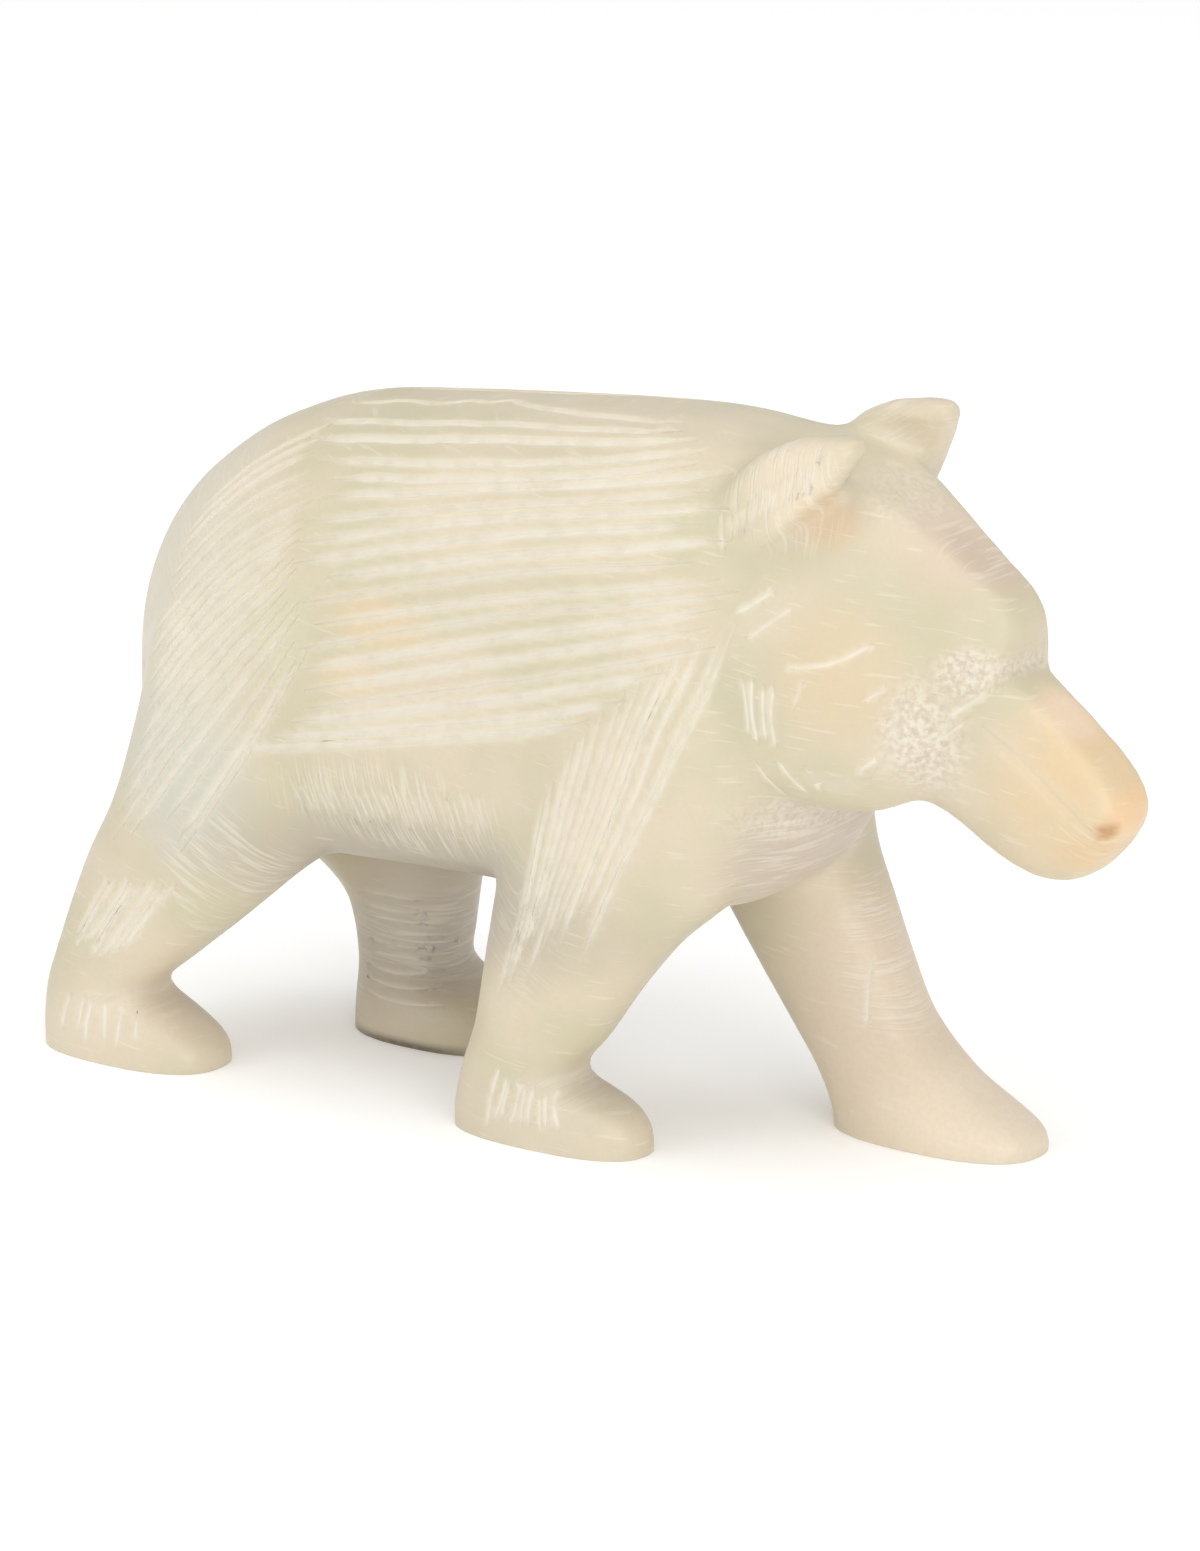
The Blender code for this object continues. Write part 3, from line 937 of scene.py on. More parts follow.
@dataclass(frozen=True)
class WaxedSoapstone:
    """Pale waxed soapstone: cream and olive, translucent, chalky wherever a tool broke the wax.

    Colours are as they look under the studio's light, which brightens the stone's own colour by its factor. A
    few patches paint shade and highlight into the colour besides the stone's own tones.
    """

    cream: tuple[int, int, int] = (229, 216, 190)
    olive: tuple[int, int, int] = (216, 208, 177)
    chalk: tuple[int, int, int] = (248, 241, 225)
    rust: tuple[int, int, int] = (190, 150, 118)
    bruise: tuple[int, int, int] = (216, 198, 178)
    roughness: float = 0.42
    light: float = 1.24
    patches: Sequence[Patch] = (
        Patch((-52, -5, 62), (24, 40, 30), (235, 228, 209), 0.8),
        Patch((-48, -20, 40), (14, 16, 16), (218, 217, 204), 0.8),
        # painted shade: the belly and the underside of the body darker, where they face down away from the
        # light
        Patch((-15, 0, 31), (44, 60, 14), (190, 180, 163), 0.9),
        # the far hind leg darker: partly its own greyer stone, partly painted shade where it stands in shadow
        Patch((-36, 12, 12), (15, 14, 18), (210, 201, 188), 0.85),
        Patch((-33, 9, 0), (15, 14, 1.7), (104, 92, 74), 0.9),
        # painted shade: darker under the chest, where it faces down away from the light
        Patch((30, -3, 41), (17, 20, 13), (209, 193, 177), 0.9),
        Patch((-60, -15, 4), (18, 12, 12), (236, 222, 200), 0.9),
        Patch((2, -13, 4), (16, 12, 10), (230, 218, 200), 0.8),
        # painted light: the far foreleg lighter on the inner face that is turned to the light
        Patch((38, 13, 16), (24, 16, 28), (241, 223, 200), 0.9),
        Patch((46, 13, 4), (16, 16, 9), (251, 235, 212), 0.9),
        Patch((-32, -22, 62), (7, 9, 9), (224, 217, 186), 0.9),
        Patch((-17.7, -22, 64.5), (10, 8, 5), (238, 214, 176), 0.65),
        Patch((-22, -22, 57), (7, 8, 4), (238, 215, 178), 0.6),
        Patch((43, -14, 66), (11, 10, 12), (228, 210, 176), 0.9),
        Patch((43, 14, 66), (11, 10, 12), (228, 210, 176), 0.9),
        Patch((50, 0, 79), (11, 12, 9), (231, 211, 188), 0.9),
        Patch((55, 0, 79), (9, 6, 7), (216, 196, 174), 0.8),
        # painted highlight: the near ear's ridge lighter where the light catches it
        Patch((36, -13, 88), (9, 7, 9), (242, 228, 202), 0.8),
        Patch((38, 11, 90), (9, 7, 7), (238, 225, 200), 0.8),
        # painted shade: warmer, darker colour in the crease under the near ear's front edge
        Patch((39.5, -11.5, 84), (6, 5, 5), (232, 200, 160), 0.6),
        Patch((67, 0, 53), (15, 12, 15), (238, 211, 168), 1.0),
        # painted highlight: the top plane of the muzzle lighter than its sides, where the light falls from
        # above
        Patch((65, 0, 61.5), (12, 6, 4), (247, 222, 192), 0.9),
        Patch((72, 0, 46.5), (8, 12, 4.5), (236, 200, 150), 0.6),
        Patch((76.5, 0, 50.5), (5, 8, 6), (250, 212, 164), 0.9),
        Patch((52, 0, 58), (6.5, 12, 11), (232, 219, 204), 0.95),
        Patch((57, 0, 67), (4.5, 9, 4.5), (236, 224, 208), 0.9),
        Patch((74.6, -4.6, 49.6), (2.2, 2.4, 1.5), (196, 140, 84), 0.75),
        Patch((74.6, 4.6, 49.6), (2.2, 2.4, 1.5), (196, 140, 84), 0.75),
        Patch((57.6, -7.8, 66.9), (0.8, 1.2, 0.8), (92, 80, 72), 0.9),
        Patch((57.6, 7.8, 66.9), (0.8, 1.2, 0.8), (92, 80, 72), 0.9),
    )
    roughened: Sequence[Torn] = (
        Torn((52, 0, 59), (6.5, 40, 10.5), 1.0, 0.3),
        Torn((57, 0, 67), (5, 40, 4), 0.9, 0.5),
        Torn((35, -8, 46), (9, 30, 5), 0.5, 0.3),
        Torn((43, 0, 85), (9, 11, 6), 0.35, 0.3),
    )
    filings: Sequence[Filing] = (
        Filing((35, -13, 87), (10, 6, 9), Lay.UPRIGHT),
        Filing((36, 12, 90), (9, 6, 7), Lay.CROSSED),
        Filing((52, 0, 79), (7.5, 6.5, 6), Lay.UPRIGHT, 0.8),
        Filing((-17, -19, 41), (21, 12, 8), Lay.UPRIGHT),
        Filing((-12, 19, 41), (19, 10, 8), Lay.UPRIGHT, 0.8),
        Filing((-14, 0, 29), (30, 16, 6), Lay.UPRIGHT, 0.7),
        Filing((-42, -20, 26), (12, 9, 13), Lay.SLANTED, 0.9),
        Filing((-36, 14, 13), (12, 9, 12), Lay.LEVEL),
        Filing((34, 13, 22), (8, 9, 15), Lay.LEVEL),
        Filing((30, -6, 41), (13, 15, 10), Lay.LEVEL, 0.7),
        Filing((70.5, 0, 48.5), (6, 9, 5), Lay.SLANTED, 0.8),
        Filing((2, -15, 6), (9, 9, 5), Lay.CROSSED, 0.6),
        Filing((-62, -15, 6), (10, 9, 6), Lay.CROSSED, 0.5),
        Filing((-48, -12, 66), (14, 14, 20), Lay.SLANTED, 0.5),
        Filing((2, -20, 30), (9, 9, 14), Lay.SLANTED, 0.4),
    )

    def build(self) -> bpy.types.Material:
        """Makes the material with all its nodes.

        Returns:
            The material.
        """
        material = bpy.data.materials.new("waxed soapstone")
        material.use_nodes = True
        desk = ShaderDesk(material.node_tree)
        shader = material.node_tree.nodes["Principled BSDF"]
        filed = self.filed(desk)
        chalk = desk.math("MAXIMUM", self.chalkiness(desk), desk.math("MULTIPLY", filed, 0.45))
        body = self.body_colour(desk)
        desk.put(desk.mix(chalk, body, self.stone(self.chalk)), shader.inputs["Base Color"])
        dull = desk.ranged(desk.noise(220.0, 3.0), 0.3, 0.7, self.roughness - 0.06, self.roughness + 0.08)
        desk.put(desk.math("ADD", dull, desk.math("MULTIPLY", chalk, 0.3)), shader.inputs["Roughness"])
        desk.put(self.relief(desk, filed), shader.inputs["Normal"])
        shader.inputs["Subsurface Weight"].default_value = 0.35
        shader.inputs["Subsurface Radius"].default_value = (1.0, 0.72, 0.42)
        shader.inputs["Subsurface Scale"].default_value = 0.0018
        shader.inputs["Specular IOR Level"].default_value = 0.45
        shader.inputs["IOR"].default_value = 1.54
        return material

    def stone(self, seen: tuple[int, int, int]) -> tuple[float, float, float, float]:
        """The stone's own colour where it looks like this under the studio's light."""
        red, green, blue, _ = linear(*seen)
        return red / self.light, green / self.light, blue / self.light, 1.0

    def body_colour(self, desk: "ShaderDesk") -> Socket:
        """Cream and olive in slow clouds, with each region's colour, painted shade and highlight among them,
        and a few rusty specks.

        Args:
            desk: The material's nodes.

        Returns:
            The colour under the chalk.
        """
        clouds = desk.ranged(desk.noise(60.0, 3.0), 0.35, 0.65, 0.0, 1.0)
        colour = desk.mix(clouds, self.stone(self.cream), self.stone(self.olive))
        # the patches' colour over the clouds: the stone's own tones, and painted shade and highlight
        tint_with_painted_light = desk.node("ShaderNodeAttribute", attribute_name="tint_with_painted_light").outputs
        left = desk.math("SUBTRACT", 1.0, tint_with_painted_light["Alpha"])
        colour = desk.mix(left, tint_with_painted_light["Color"], colour)
        grit = desk.ranged(desk.noise(1500.0, 3.0, 9.1), 0.35, 0.7, 0.0, 0.14)
        colour = desk.mix(grit, colour, self.stone(self.bruise))
        rough = desk.attribute("rough")
        mottled = desk.ranged(desk.noise(1300.0, 5.0, 5.2), 0.35, 0.65, 0.0, 1.0)
        bruised = desk.mix(mottled, self.stone(self.bruise), self.stone(self.chalk))
        colour = desk.mix(desk.math("MULTIPLY", rough, 0.7), colour, bruised)
        specks = desk.ranged(desk.noise(1100.0, 2.0, 2.1), 0.66, 0.74, 0.0, 0.5)
        rusty = desk.math("MULTIPLY", specks, desk.math("ADD", rough, 0.12))
        return desk.mix(rusty, colour, self.stone(self.rust))

    def paint(self, mesh: bpy.types.Mesh) -> None:
        """Keeps the patches' colours, painted shade and highlight among them, and the filed regions as
        attributes of the mesh.

        Args:
            mesh: The carved mesh.
        """
        count = len(mesh.vertices)
        places = np.empty(count * 3)
        mesh.vertices.foreach_get("co", places)
        places = places.reshape(count, 3)
        tint_with_painted_light = np.zeros((count, 4))
        # mixes in each patch's colour: the stone's own tones, and painted shade and highlight where a patch
        # stands for them
        for patch in self.patches:
            share = patch.strength * share_near(places, patch.middle, patch.reach, patch.edge)
            tint_with_painted_light += share[:, None] * (np.array(self.stone(patch.colour)) - tint_with_painted_light)
        tint_with_painted_light[:, :3] /= np.maximum(tint_with_painted_light[:, 3:], 1e-4)
        filing = np.zeros((count, 4))
        for region in self.filings:
            share = region.strength * share_near(places, region.middle, region.reach, region.edge)
            channel = region.lay.value[0]
            filing[:, channel] = np.maximum(filing[:, channel], share)
        for name, values in (("tint_with_painted_light", tint_with_painted_light), ("filing", filing)):
            mesh.attributes.new(name, "FLOAT_COLOR", "POINT").data.foreach_set("color", values.ravel())
        rough = np.zeros(count)
        for torn in self.roughened:
            share = torn.strength * share_near(places, torn.middle, torn.reach, torn.edge)
            rough = np.maximum(rough, share)
        mesh.attributes.new("rough", "FLOAT", "POINT").data.foreach_set("value", rough)

    def chalkiness(self, desk: "ShaderDesk") -> Socket:
        """How much of the surface is bruised white: tool marks, and hair scratches that run with them.

        Args:
            desk: The material's nodes.

        Returns:
            A share from 0 to 1.
        """
        cut = desk.attribute("chalk")
        patchy = desk.ranged(desk.noise(420.0, 5.0, 4.4), 0.34, 0.58, 0.7, 1.0)
        deep = desk.math("MULTIPLY", cut, patchy)
        hairs = desk.ranged(self.hairs(desk), 0.62, 0.75, 0.0, 0.3)
        return desk.math("MINIMUM", desk.math("MAXIMUM", deep, hairs), 1.0)

    def filed(self, desk: "ShaderDesk") -> Socket:
        """File strokes: short parallel scores that come and go within each region.

        Args:
            desk: The material's nodes.

        Returns:
            How deep into a score a place is, from 0 to 1.
        """
        kept = desk.node("ShaderNodeAttribute", attribute_name="filing").outputs
        channels = list(desk.node("ShaderNodeSeparateColor").outputs) + [kept["Alpha"]]
        desk.put(kept["Color"], channels[0].node.inputs[0])
        total = 0.0
        for lay in Lay:
            channel, turn, pitch = lay.value
            scores = desk.stretched((1000.0 / pitch, 150.0, 150.0), (0.0, math.radians(turn), 0.0))
            scores = desk.ranged(scores, 0.46, 0.66, 0.0, 1.0)
            total = desk.math("MAXIMUM", desk.math("MULTIPLY", scores, channels[channel]), total)
        return total

    def relief(self, desk: "ShaderDesk", filed: Socket) -> Socket:
        """Fine grain, hair scratches and file scores as a bumped normal.

        Args:
            desk: The material's nodes.
            filed: Depth of the file scores.

        Returns:
            The normal.
        """
        grain = desk.math("MULTIPLY", desk.noise(1800.0, 3.0, 1.7), 0.3)
        rough = desk.math("MULTIPLY", desk.attribute("rough"), 3.5)
        torn = desk.math("MULTIPLY", desk.noise(1300.0, 5.0, 5.2), rough)
        hairs = desk.math("MULTIPLY", self.hairs(desk), 0.2)
        raised = desk.math("ADD", grain, desk.math("ADD", torn, hairs))
        return desk.bump(desk.math("SUBTRACT", raised, filed), 0.6, 0.0001)

    def hairs(self, desk: "ShaderDesk") -> Socket:
        """Hair scratches that run along the body."""
        return desk.stretched((190.0, 190.0, 2100.0), (0.0, math.radians(-8), 0.0))


@dataclass
class ShaderDesk(Bench):
    """A material's node tree with short calls for what this stone needs."""

    def place(self) -> Socket:
        """Object coordinates, in metres."""
        return self.node("ShaderNodeTexCoord").outputs["Object"]

    def mix(self, share: object, first: object, second: object) -> Socket:
        """Mixes two colours.

        Args:
            share: How much of the second, from 0 to 1.
            first: A colour or socket.
            second: A colour or socket.

        Returns:
            The mixed colour.
        """
        made = self.node("ShaderNodeMix", data_type="RGBA")
        self.put(share, made.inputs[0])
        self.put(first, made.inputs[6])
        self.put(second, made.inputs[7])
        return made.outputs[2]

    def ranged(self, value: Socket, low: float, high: float, to_low: float, to_high: float) -> Socket:
        """Maps a value smoothly from one range to another.

        Args:
            value: The value.
            low: Start of its range.
            high: End of its range.
            to_low: Result at the start.
            to_high: Result at the end.

        Returns:
            The mapped value.
        """
        made = self.node("ShaderNodeMapRange", interpolation_type="SMOOTHSTEP")
        for socket, given in zip(made.inputs, (value, low, high, to_low, to_high)):
            self.put(given, socket)
        return made.outputs[0]

    def noise(self, scale: float, detail: float, seed: float = 0.0) -> Socket:
        """Adds seeded noise.

        Args:
            scale: Features to a metre.
            detail: Finer layers on top.
            seed: Picks the pattern.

        Returns:
            The noise, from 0 to 1.
        """
        made = self.node("ShaderNodeTexNoise", noise_dimensions="4D")
        self.put(self.place(), made.inputs["Vector"])
        self.put(seed, made.inputs["W"])
        self.put(scale, made.inputs["Scale"])
        self.put(detail, made.inputs["Detail"])
        return made.outputs["Fac"]

    def mapped(self, given: Socket, scale: Row = (1.0, 1.0, 1.0), turn: Row = (0.0, 0.0, 0.0)) -> Socket:
        """Scales and turns coordinates.

        Args:
            given: The coordinates.
            scale: Scale along each axis.
            turn: Turn about each axis, in radians.

        Returns:
            The new coordinates.
        """
        made = self.node("ShaderNodeMapping")
        self.put(given, made.inputs["Vector"])
        made.inputs["Scale"].default_value = scale
        made.inputs["Rotation"].default_value = turn
        return made.outputs[0]

    def stretched(self, scale: Row, turn: Row) -> Socket:
        """Adds noise drawn out into scratches.

        Args:
            scale: Features to a metre along each axis.
            turn: Turn about each axis, in radians.

        Returns:
            The noise, from 0 to 1.
        """
        made = self.node("ShaderNodeTexNoise")
        self.put(self.mapped(self.mapped(self.place(), turn=turn), scale), made.inputs["Vector"])
        self.put(1.0, made.inputs["Scale"])
        self.put(1.0, made.inputs["Detail"])
        return made.outputs["Fac"]

    def attribute(self, name: str) -> Socket:
        """Reads a number kept on the mesh."""
        return self.node("ShaderNodeAttribute", attribute_name=name).outputs["Fac"]

    def bump(self, height: Socket, strength: float, distance: float) -> Socket:
        """Adds a bump.

        Args:
            height: The height.
            strength: Its strength.
            distance: Metres that a height of 1 stands for.

        Returns:
            The bumped normal.
        """
        made = self.node("ShaderNodeBump")
        self.put(height, made.inputs["Height"])
        made.inputs["Strength"].default_value = strength
        made.inputs["Distance"].default_value = distance
        return made.outputs["Normal"]


@dataclass
class Fur:
    """The marks that stand for fur on body, rump and legs, with a plainer left side."""

    legs: Legs = field(default_factory=Legs)
    flank: Fan = Fan(
        (
            (-39.5, 85, -12, 88.7, 16.5, 91), (-31, 80.3, -3.5, 84.3, 22, 88.8),
            (-28, 72.5, -1, 79.2, 25, 83.8), (-27, 63.5, 1, 71.3, 27, 76.5),
            (-30, 53, 1.5, 62.5, 26.5, 69.5), (-36, 45.5, 1.5, 54, 14, 58),
        ),
        count=19,
        stray=0.12,
        short=0.08,
    )
    rump: Fan = Fan(
        (
            (-34, 84.2, -41.5, 79.6, -51, 70.5), (-31, 79.6, -40.5, 74, -54, 61),
            (-31, 73.5, -43.5, 64.2, -57, 48.5), (-31.5, 69, -45.5, 55.5, -60, 38),
            (-30, 64.5, -43.5, 49, -60, 28), (-28.5, 59, -38.5, 43.5, -52, 25),
        ),
        count=19,
    )
    shoulder: Fan = Fan(
        (
            (7, 48, 2.5, 31, -4, 14), (13, 57, 8, 40, -1, 17), (20, 64, 13.5, 45, 2.5, 20),
            (25.2, 68.5, 18, 48, 6, 21), (30.5, 71, 24, 52, 11, 26),
        ),
        count=13,
    )
    left_flank_count: int = 18

    def families(self) -> list[Marks]:
        """Draws the families from the widest tool to the finest.

        Returns:
            The families.
        """
        furrows = Marks("flank furrows", width=1.3, depth=0.5, chalk=1.0, seed=11, wobble=0.3, run_out=0.13)
        furrows.trace(Face.RIGHT, self.run_on(self.flank.strokes(35), 4))
        furrows.trace(Face.LEFT, self.run_on(self.flank.strokes(36)[: self.left_flank_count], 5))
        rump = Marks("rump strokes", width=0.95, depth=0.38, chalk=1.0, seed=12, wobble=0.25)
        rump.trace(Face.RIGHT, self.rump.strokes(31))
        rump.trace(Face.LEFT, self.led(self.rump.strokes(32), hind=True))
        rump.hatch(Hatch(Face.BACK, (-8, 70, 8, 70), (-11, 48, 11, 48), 7, 0.15))
        limbs = Marks("limb strokes", width=0.82, depth=0.3, chalk=0.95, seed=13, wobble=0.25)
        limbs.trace(Face.RIGHT, self.shoulder.strokes(33))
        limbs.trace(Face.LEFT, self.led(self.shoulder.strokes(34)[::2], hind=False))
        limbs.hatch(
            Hatch(Face.RIGHT, (-60, 25.5, -49, 25.5), (-68, 13, -60, 12.5), 8, 0.15),
            Hatch(Face.LEFT, (-52, 24, -38, 24), (-44, 12, -33, 12), 5, 0.1),
        )
        return [furrows, rump, limbs]

    def run_on(self, rows: Sequence[Row], seed: int) -> list[Row]:
        """Lets strokes stop short or run on a little at both ends, no two alike.

        Args:
            rows: Strokes of three pairs.
            seed: Fixes the differences.

        Returns:
            The new strokes.
        """
        dice = random.Random(seed)
        made = []
        for x0, z0, x1, z1, x2, z2 in rows:
            back, on = dice.uniform(-0.05, 0.12), dice.uniform(-0.04, 0.26) * min(1.0, (92 - z2) / 10)
            lift = dice.uniform(-0.3, 0.3)
            start = (x0 + (x0 - x1) * back, z0 + (z0 - z1) * back)
            end = (x2 + (x2 - x1) * on, z2 + (z2 - z1) * on * 0.8)
            made.append((*start, x1, z1 + lift, *end))
        return made

    def led(self, rows: Sequence[Row], hind: bool) -> list[Row]:
        """Moves strokes to the left leg of a pair, which is ahead of the right one.

        Args:
            rows: Strokes of the right leg.
            hind: True for the hind pair.

        Returns:
            Strokes of the left leg.
        """
        made = []
        for row in rows:
            pairs = [(x + self.legs.lead(hind, z), z) for x, z in zip(row[::2], row[1::2])]
            made.append(tuple(value for pair in pairs for value in pair))
        return made


@dataclass
class FineWork:
    """The finer cuts: the cheek's crease, the muzzle's plane, scratches and file marks."""

    crease: Sequence[Row] = ((38.9, 54.1, 42.8, 52.2, 46.3, 53.4), (46.3, 53.4, 49.4, 58.2, 50.8, 65.0))
    muzzle_plane: Sequence[Row] = ((58.5, 60.6, 65.5, 55.6, 73, 49.6),)
    scratches: Sequence[Row] = (
        (37.3, 67.1, 42.6, 67.7, 46.9, 70.3), (46.1, 63.2, 49.1, 65.2), (38.9, 62.1, 40.1, 65.8),
        (30, 72, 34.6, 75.5), (32, 69.4, 37.4, 74), (33.2, 54.4, 34.2, 52, 35.6, 49.5),
        (36.3, 55.4, 37.4, 53, 38.9, 50.6), (39.7, 54.7, 40.8, 51.2), (44.7, 53.7, 47.7, 56.3),
        (54.2, 58.6, 57.2, 61.4), (55, 61.4, 59.4, 64.8), (57.0, 67.3, 58.2, 66.5),
    )
    left_scratch_count: int = 9

    def families(self) -> list[Marks]:
        """Draws the families from the widest tool to the finest.

        Returns:
            The families.
        """
        crease = Marks("cheek crease", width=2.6, depth=0.5, chalk=0.25, seed=21, wobble=0.1, run_out=0.3)
        crease.trace(Face.RIGHT, self.crease).trace(Face.LEFT, self.crease)
        crease.trace(Face.RIGHT, self.muzzle_plane).trace(Face.LEFT, self.muzzle_plane)
        scratches = Marks("scratches", width=0.5, depth=0.15, chalk=1.0, seed=22, wobble=0.25)
        scratches.trace(Face.RIGHT, self.scratches)
        scratches.trace(Face.LEFT, self.scratches[: self.left_scratch_count])
        scratches.hatch(
            Hatch(Face.RIGHT, (31.5, 66, 37, 65), (32.5, 57, 37, 55.5), 4, 0.1),
            Hatch(Face.INSIDE_LEFT, (32.3, 23, 33, 23), (32.9, 14, 33.6, 14), 1),
            Hatch(Face.RIGHT, (-2, 10.4, 5.5, 8.2), (-5.8, 1.4, 6.8, 2.6), 9),
            Hatch(Face.RIGHT, (-67, 10, -57, 7.5), (-69, 2, -54, 2.5), 6),
        )
        files = Marks(
            "file marks", width=0.4, depth=0.1, chalk=0.7, seed=23, wobble=0.08, run_out=0.3, step=1.5
        )
        files.hatch(
            Hatch(Face.RIGHT, (26.5, 84, 40.5, 93.6), (27.5, 79, 39, 87.5), 13, 0.08),
            Hatch(Face.RIGHT, (-33, 43, -3, 46), (-30.5, 36, -3, 39), 24, 0.08),
            Hatch(Face.LEFT, (-24, 43, 0, 46), (-23, 36, 0, 39), 14, 0.08),
            Hatch(Face.INSIDE_LEFT, (-43, 19, -41, 5), (-32, 19, -27, 5), 9, 0.08),
        )
        return [crease, scratches, files]


@dataclass
class Bear:
    """The whole carving: form, marks and finish, and how its razor-thin fins and loose chips are cleaned."""

    form: Form = field(default_factory=Form)
    fur: Fur = field(default_factory=Fur)
    fine_work: FineWork = field(default_factory=FineWork)
    finish: WaxedSoapstone = field(default_factory=WaxedSoapstone)
    soft_edge: float = math.radians(40)
    thinnest: float = math.radians(100)
    rubs: int = 6
    rub_share: float = 0.6
    merged: float = 1e-5
    smallest_chip: int = 50

    def build(self) -> bpy.types.Object:
        """Carves and dresses the bear.

        Returns:
            The finished piece, as a plain mesh at the origin.
        """
        form = self.form.build()
        material = self.finish.build()
        form.data.materials.append(material)
        stone = form.copy()
        bpy.context.scene.collection.objects.link(stone)
        tree = GougeTree(bpy.data.node_groups.new("gouge marks", "GeometryNodeTree")).build()
        families = self.fur.families() + self.fine_work.families()
        for marks in families:
            tree.cut(stone, form, marks, material)
            LOG.info("marks: %s, %d strokes", marks.name, len(marks.paths))
        piece = applied(stone, "soapstone_bear")
        for helper in [stone, form] + [bpy.data.objects[marks.name] for marks in families]:
            bpy.data.objects.remove(helper)
        self.clean(piece)
        return piece

    def clean(self, piece: bpy.types.Object) -> None:
        """Merges doubles, drops what only the tree needed and softens the shading.

        Args:
            piece: The carved mesh object.
        """
        mesh = piece.data
        bm = bmesh.new()
        bm.from_mesh(mesh)
        self.drop_chips(bm)
        self.round_fins(bm)
        bmesh.ops.remove_doubles(bm, verts=bm.verts, dist=self.merged)
        bmesh.ops.recalc_face_normals(bm, faces=bm.faces)
        for face in bm.faces:
            face.smooth = all(edge.calc_face_angle(0.0) < self.thinnest for edge in face.edges)
        bm.to_mesh(mesh)
        open_edges = sum(1 for edge in bm.edges if not edge.is_manifold)
        bm.free()
        for name in ("aim", "rise", "struck", "weight", "bite"):
            if name in mesh.attributes:
                mesh.attributes.remove(mesh.attributes[name])
        finish = mesh.materials[-1]
        mesh.materials.clear()
        mesh.materials.append(finish)
        self.finish.paint(mesh)
        mesh.set_sharp_from_angle(angle=self.soft_edge)
        triangles = sum(len(face.vertices) - 2 for face in mesh.polygons)
        LOG.info("bear: %d triangles, %d open edges", triangles, open_edges)

    def round_fins(self, bm: bmesh.types.BMesh) -> None:
        """Rubs down the razor-thin fins that stand where cuts cross.

        Args:
            bm: The carved mesh.
        """
        for _ in range(self.rubs):
            fins = [edge for edge in bm.edges if edge.calc_face_angle(0.0) > self.thinnest]
            thin = list({vert for edge in fins for vert in edge.verts})
            axes = {"use_axis_x": True, "use_axis_y": True, "use_axis_z": True}
            bmesh.ops.smooth_vert(bm, verts=thin, factor=self.rub_share, **axes)

    def drop_chips(self, bm: bmesh.types.BMesh) -> None:
        """Takes out loose slivers that crossing cuts have left.

        Args:
            bm: The carved mesh.
        """
        left = set(bm.faces)
        while left:
            reached = [left.pop()]
            for face in reached:
                beside = {other for edge in face.edges for other in edge.link_faces} & left
                left -= beside
                reached += beside
            if len(reached) < self.smallest_chip:
                bmesh.ops.delete(bm, geom=reached, context="FACES")


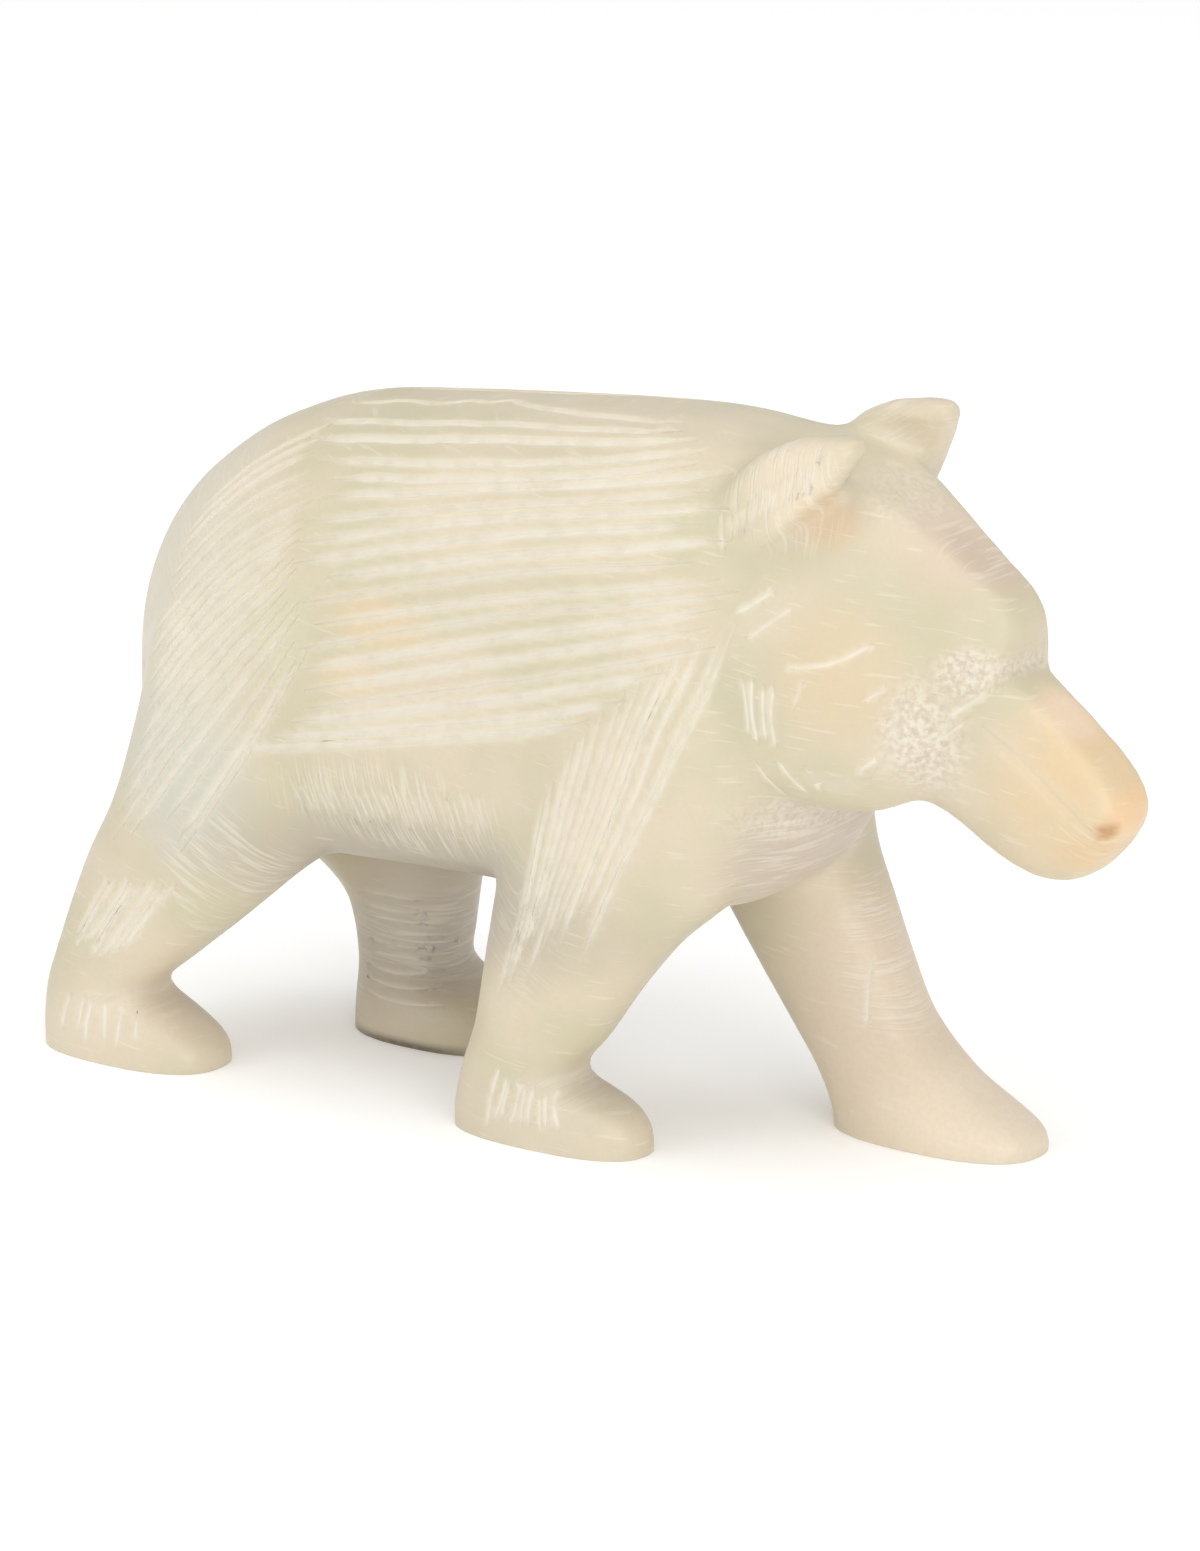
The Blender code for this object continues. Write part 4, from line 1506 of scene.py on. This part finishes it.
@dataclass
class Studio:
    """Camera at the photograph's place, a pale floor, and soft light from above and around."""

    azimuth: float = 33.8
    elevation: float = 17.2
    distance: float = 1.3064
    target: Vector = field(default_factory=lambda: Vector((-0.00208, 0.0, 0.04265)))
    focal_pixels: float = 10610.6
    long_side: int = 1551
    room_light: float = 0.62
    floor_radius: float = 6.0
    floor_gap: float = 0.00005
    floor_glow: float = 0.16

    def build(self) -> None:
        """Makes the camera, the floor, the world and the lights."""
        self.camera()
        self.floor()
        world = bpy.data.worlds.new("soft room")
        world.use_nodes = True
        world.node_tree.nodes["Background"].inputs["Color"].default_value = (1.0, 1.0, 1.0, 1.0)
        world.node_tree.nodes["Background"].inputs["Strength"].default_value = self.room_light
        bpy.context.scene.world = world
        bpy.context.scene.view_settings.view_transform = "Standard"
        self.lamp("overhead", (0.1, -0.2, 1.3), 1.1, 6.5)
        self.lamp("front right", (1.2, -0.9, 0.6), 0.9, 9.0)
        self.lamp("front left", (-0.9, -1.3, 0.7), 0.9, 4.5)

    def camera(self) -> None:
        """Places the camera."""
        across, up = math.radians(self.azimuth), math.radians(self.elevation)
        back = Vector((math.sin(across) * math.cos(up), -math.cos(across) * math.cos(up), math.sin(up)))
        data = bpy.data.cameras.new("camera")
        data.sensor_width = 36.0
        data.lens = self.focal_pixels * data.sensor_width / self.long_side
        data.clip_start, data.clip_end = 0.01, 20.0
        camera = bpy.data.objects.new("camera", data)
        camera.rotation_mode = "QUATERNION"
        camera.location = self.target + back * self.distance
        camera.rotation_quaternion = (-back).to_track_quat("-Z", "Y")
        bpy.context.scene.collection.objects.link(camera)
        bpy.context.scene.camera = camera

    def floor(self) -> None:
        """A wide pale floor under everything."""
        bm = bmesh.new()
        bmesh.ops.create_circle(bm, cap_ends=True, radius=self.floor_radius, segments=96)
        bmesh.ops.translate(bm, verts=bm.verts, vec=(0, 0, -self.floor_gap))
        floor = mesh_object("floor", bm)
        material = bpy.data.materials.new("pale paper")
        material.use_nodes = True
        shader = material.node_tree.nodes["Principled BSDF"]
        shader.inputs["Base Color"].default_value = (0.93, 0.93, 0.93, 1.0)
        shader.inputs["Roughness"].default_value = 0.9
        shader.inputs["Emission Color"].default_value = (1.0, 1.0, 1.0, 1.0)
        shader.inputs["Emission Strength"].default_value = self.floor_glow
        floor.data.materials.append(material)

    def lamp(self, name: str, place: tuple[float, float, float], size: float, power: float) -> None:
        """Hangs one large soft lamp that faces the bear.

        Args:
            name: The lamp's name.
            place: Where it hangs, in metres.
            size: Side of its square face.
            power: Its power in watts.
        """
        data = bpy.data.lights.new(name, "AREA")
        data.shape = "SQUARE"
        data.size = size
        data.energy = power
        lamp = bpy.data.objects.new(name, data)
        lamp.location = place
        lamp.rotation_mode = "QUATERNION"
        lamp.rotation_quaternion = (self.target - lamp.location).to_track_quat("-Z", "Y")
        bpy.context.scene.collection.objects.link(lamp)


def main() -> None:
    """Builds the carving and the studio, and hangs the carving on the root body in place of the solid."""
    logging.basicConfig(level=logging.INFO, format="%(message)s")
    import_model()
    bear = Bear().build()
    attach(bear, "root")
    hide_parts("bear")
    LOG.info("piece: %s", bear.name)
    Studio().build()


if __name__ == "__main__":
    main()
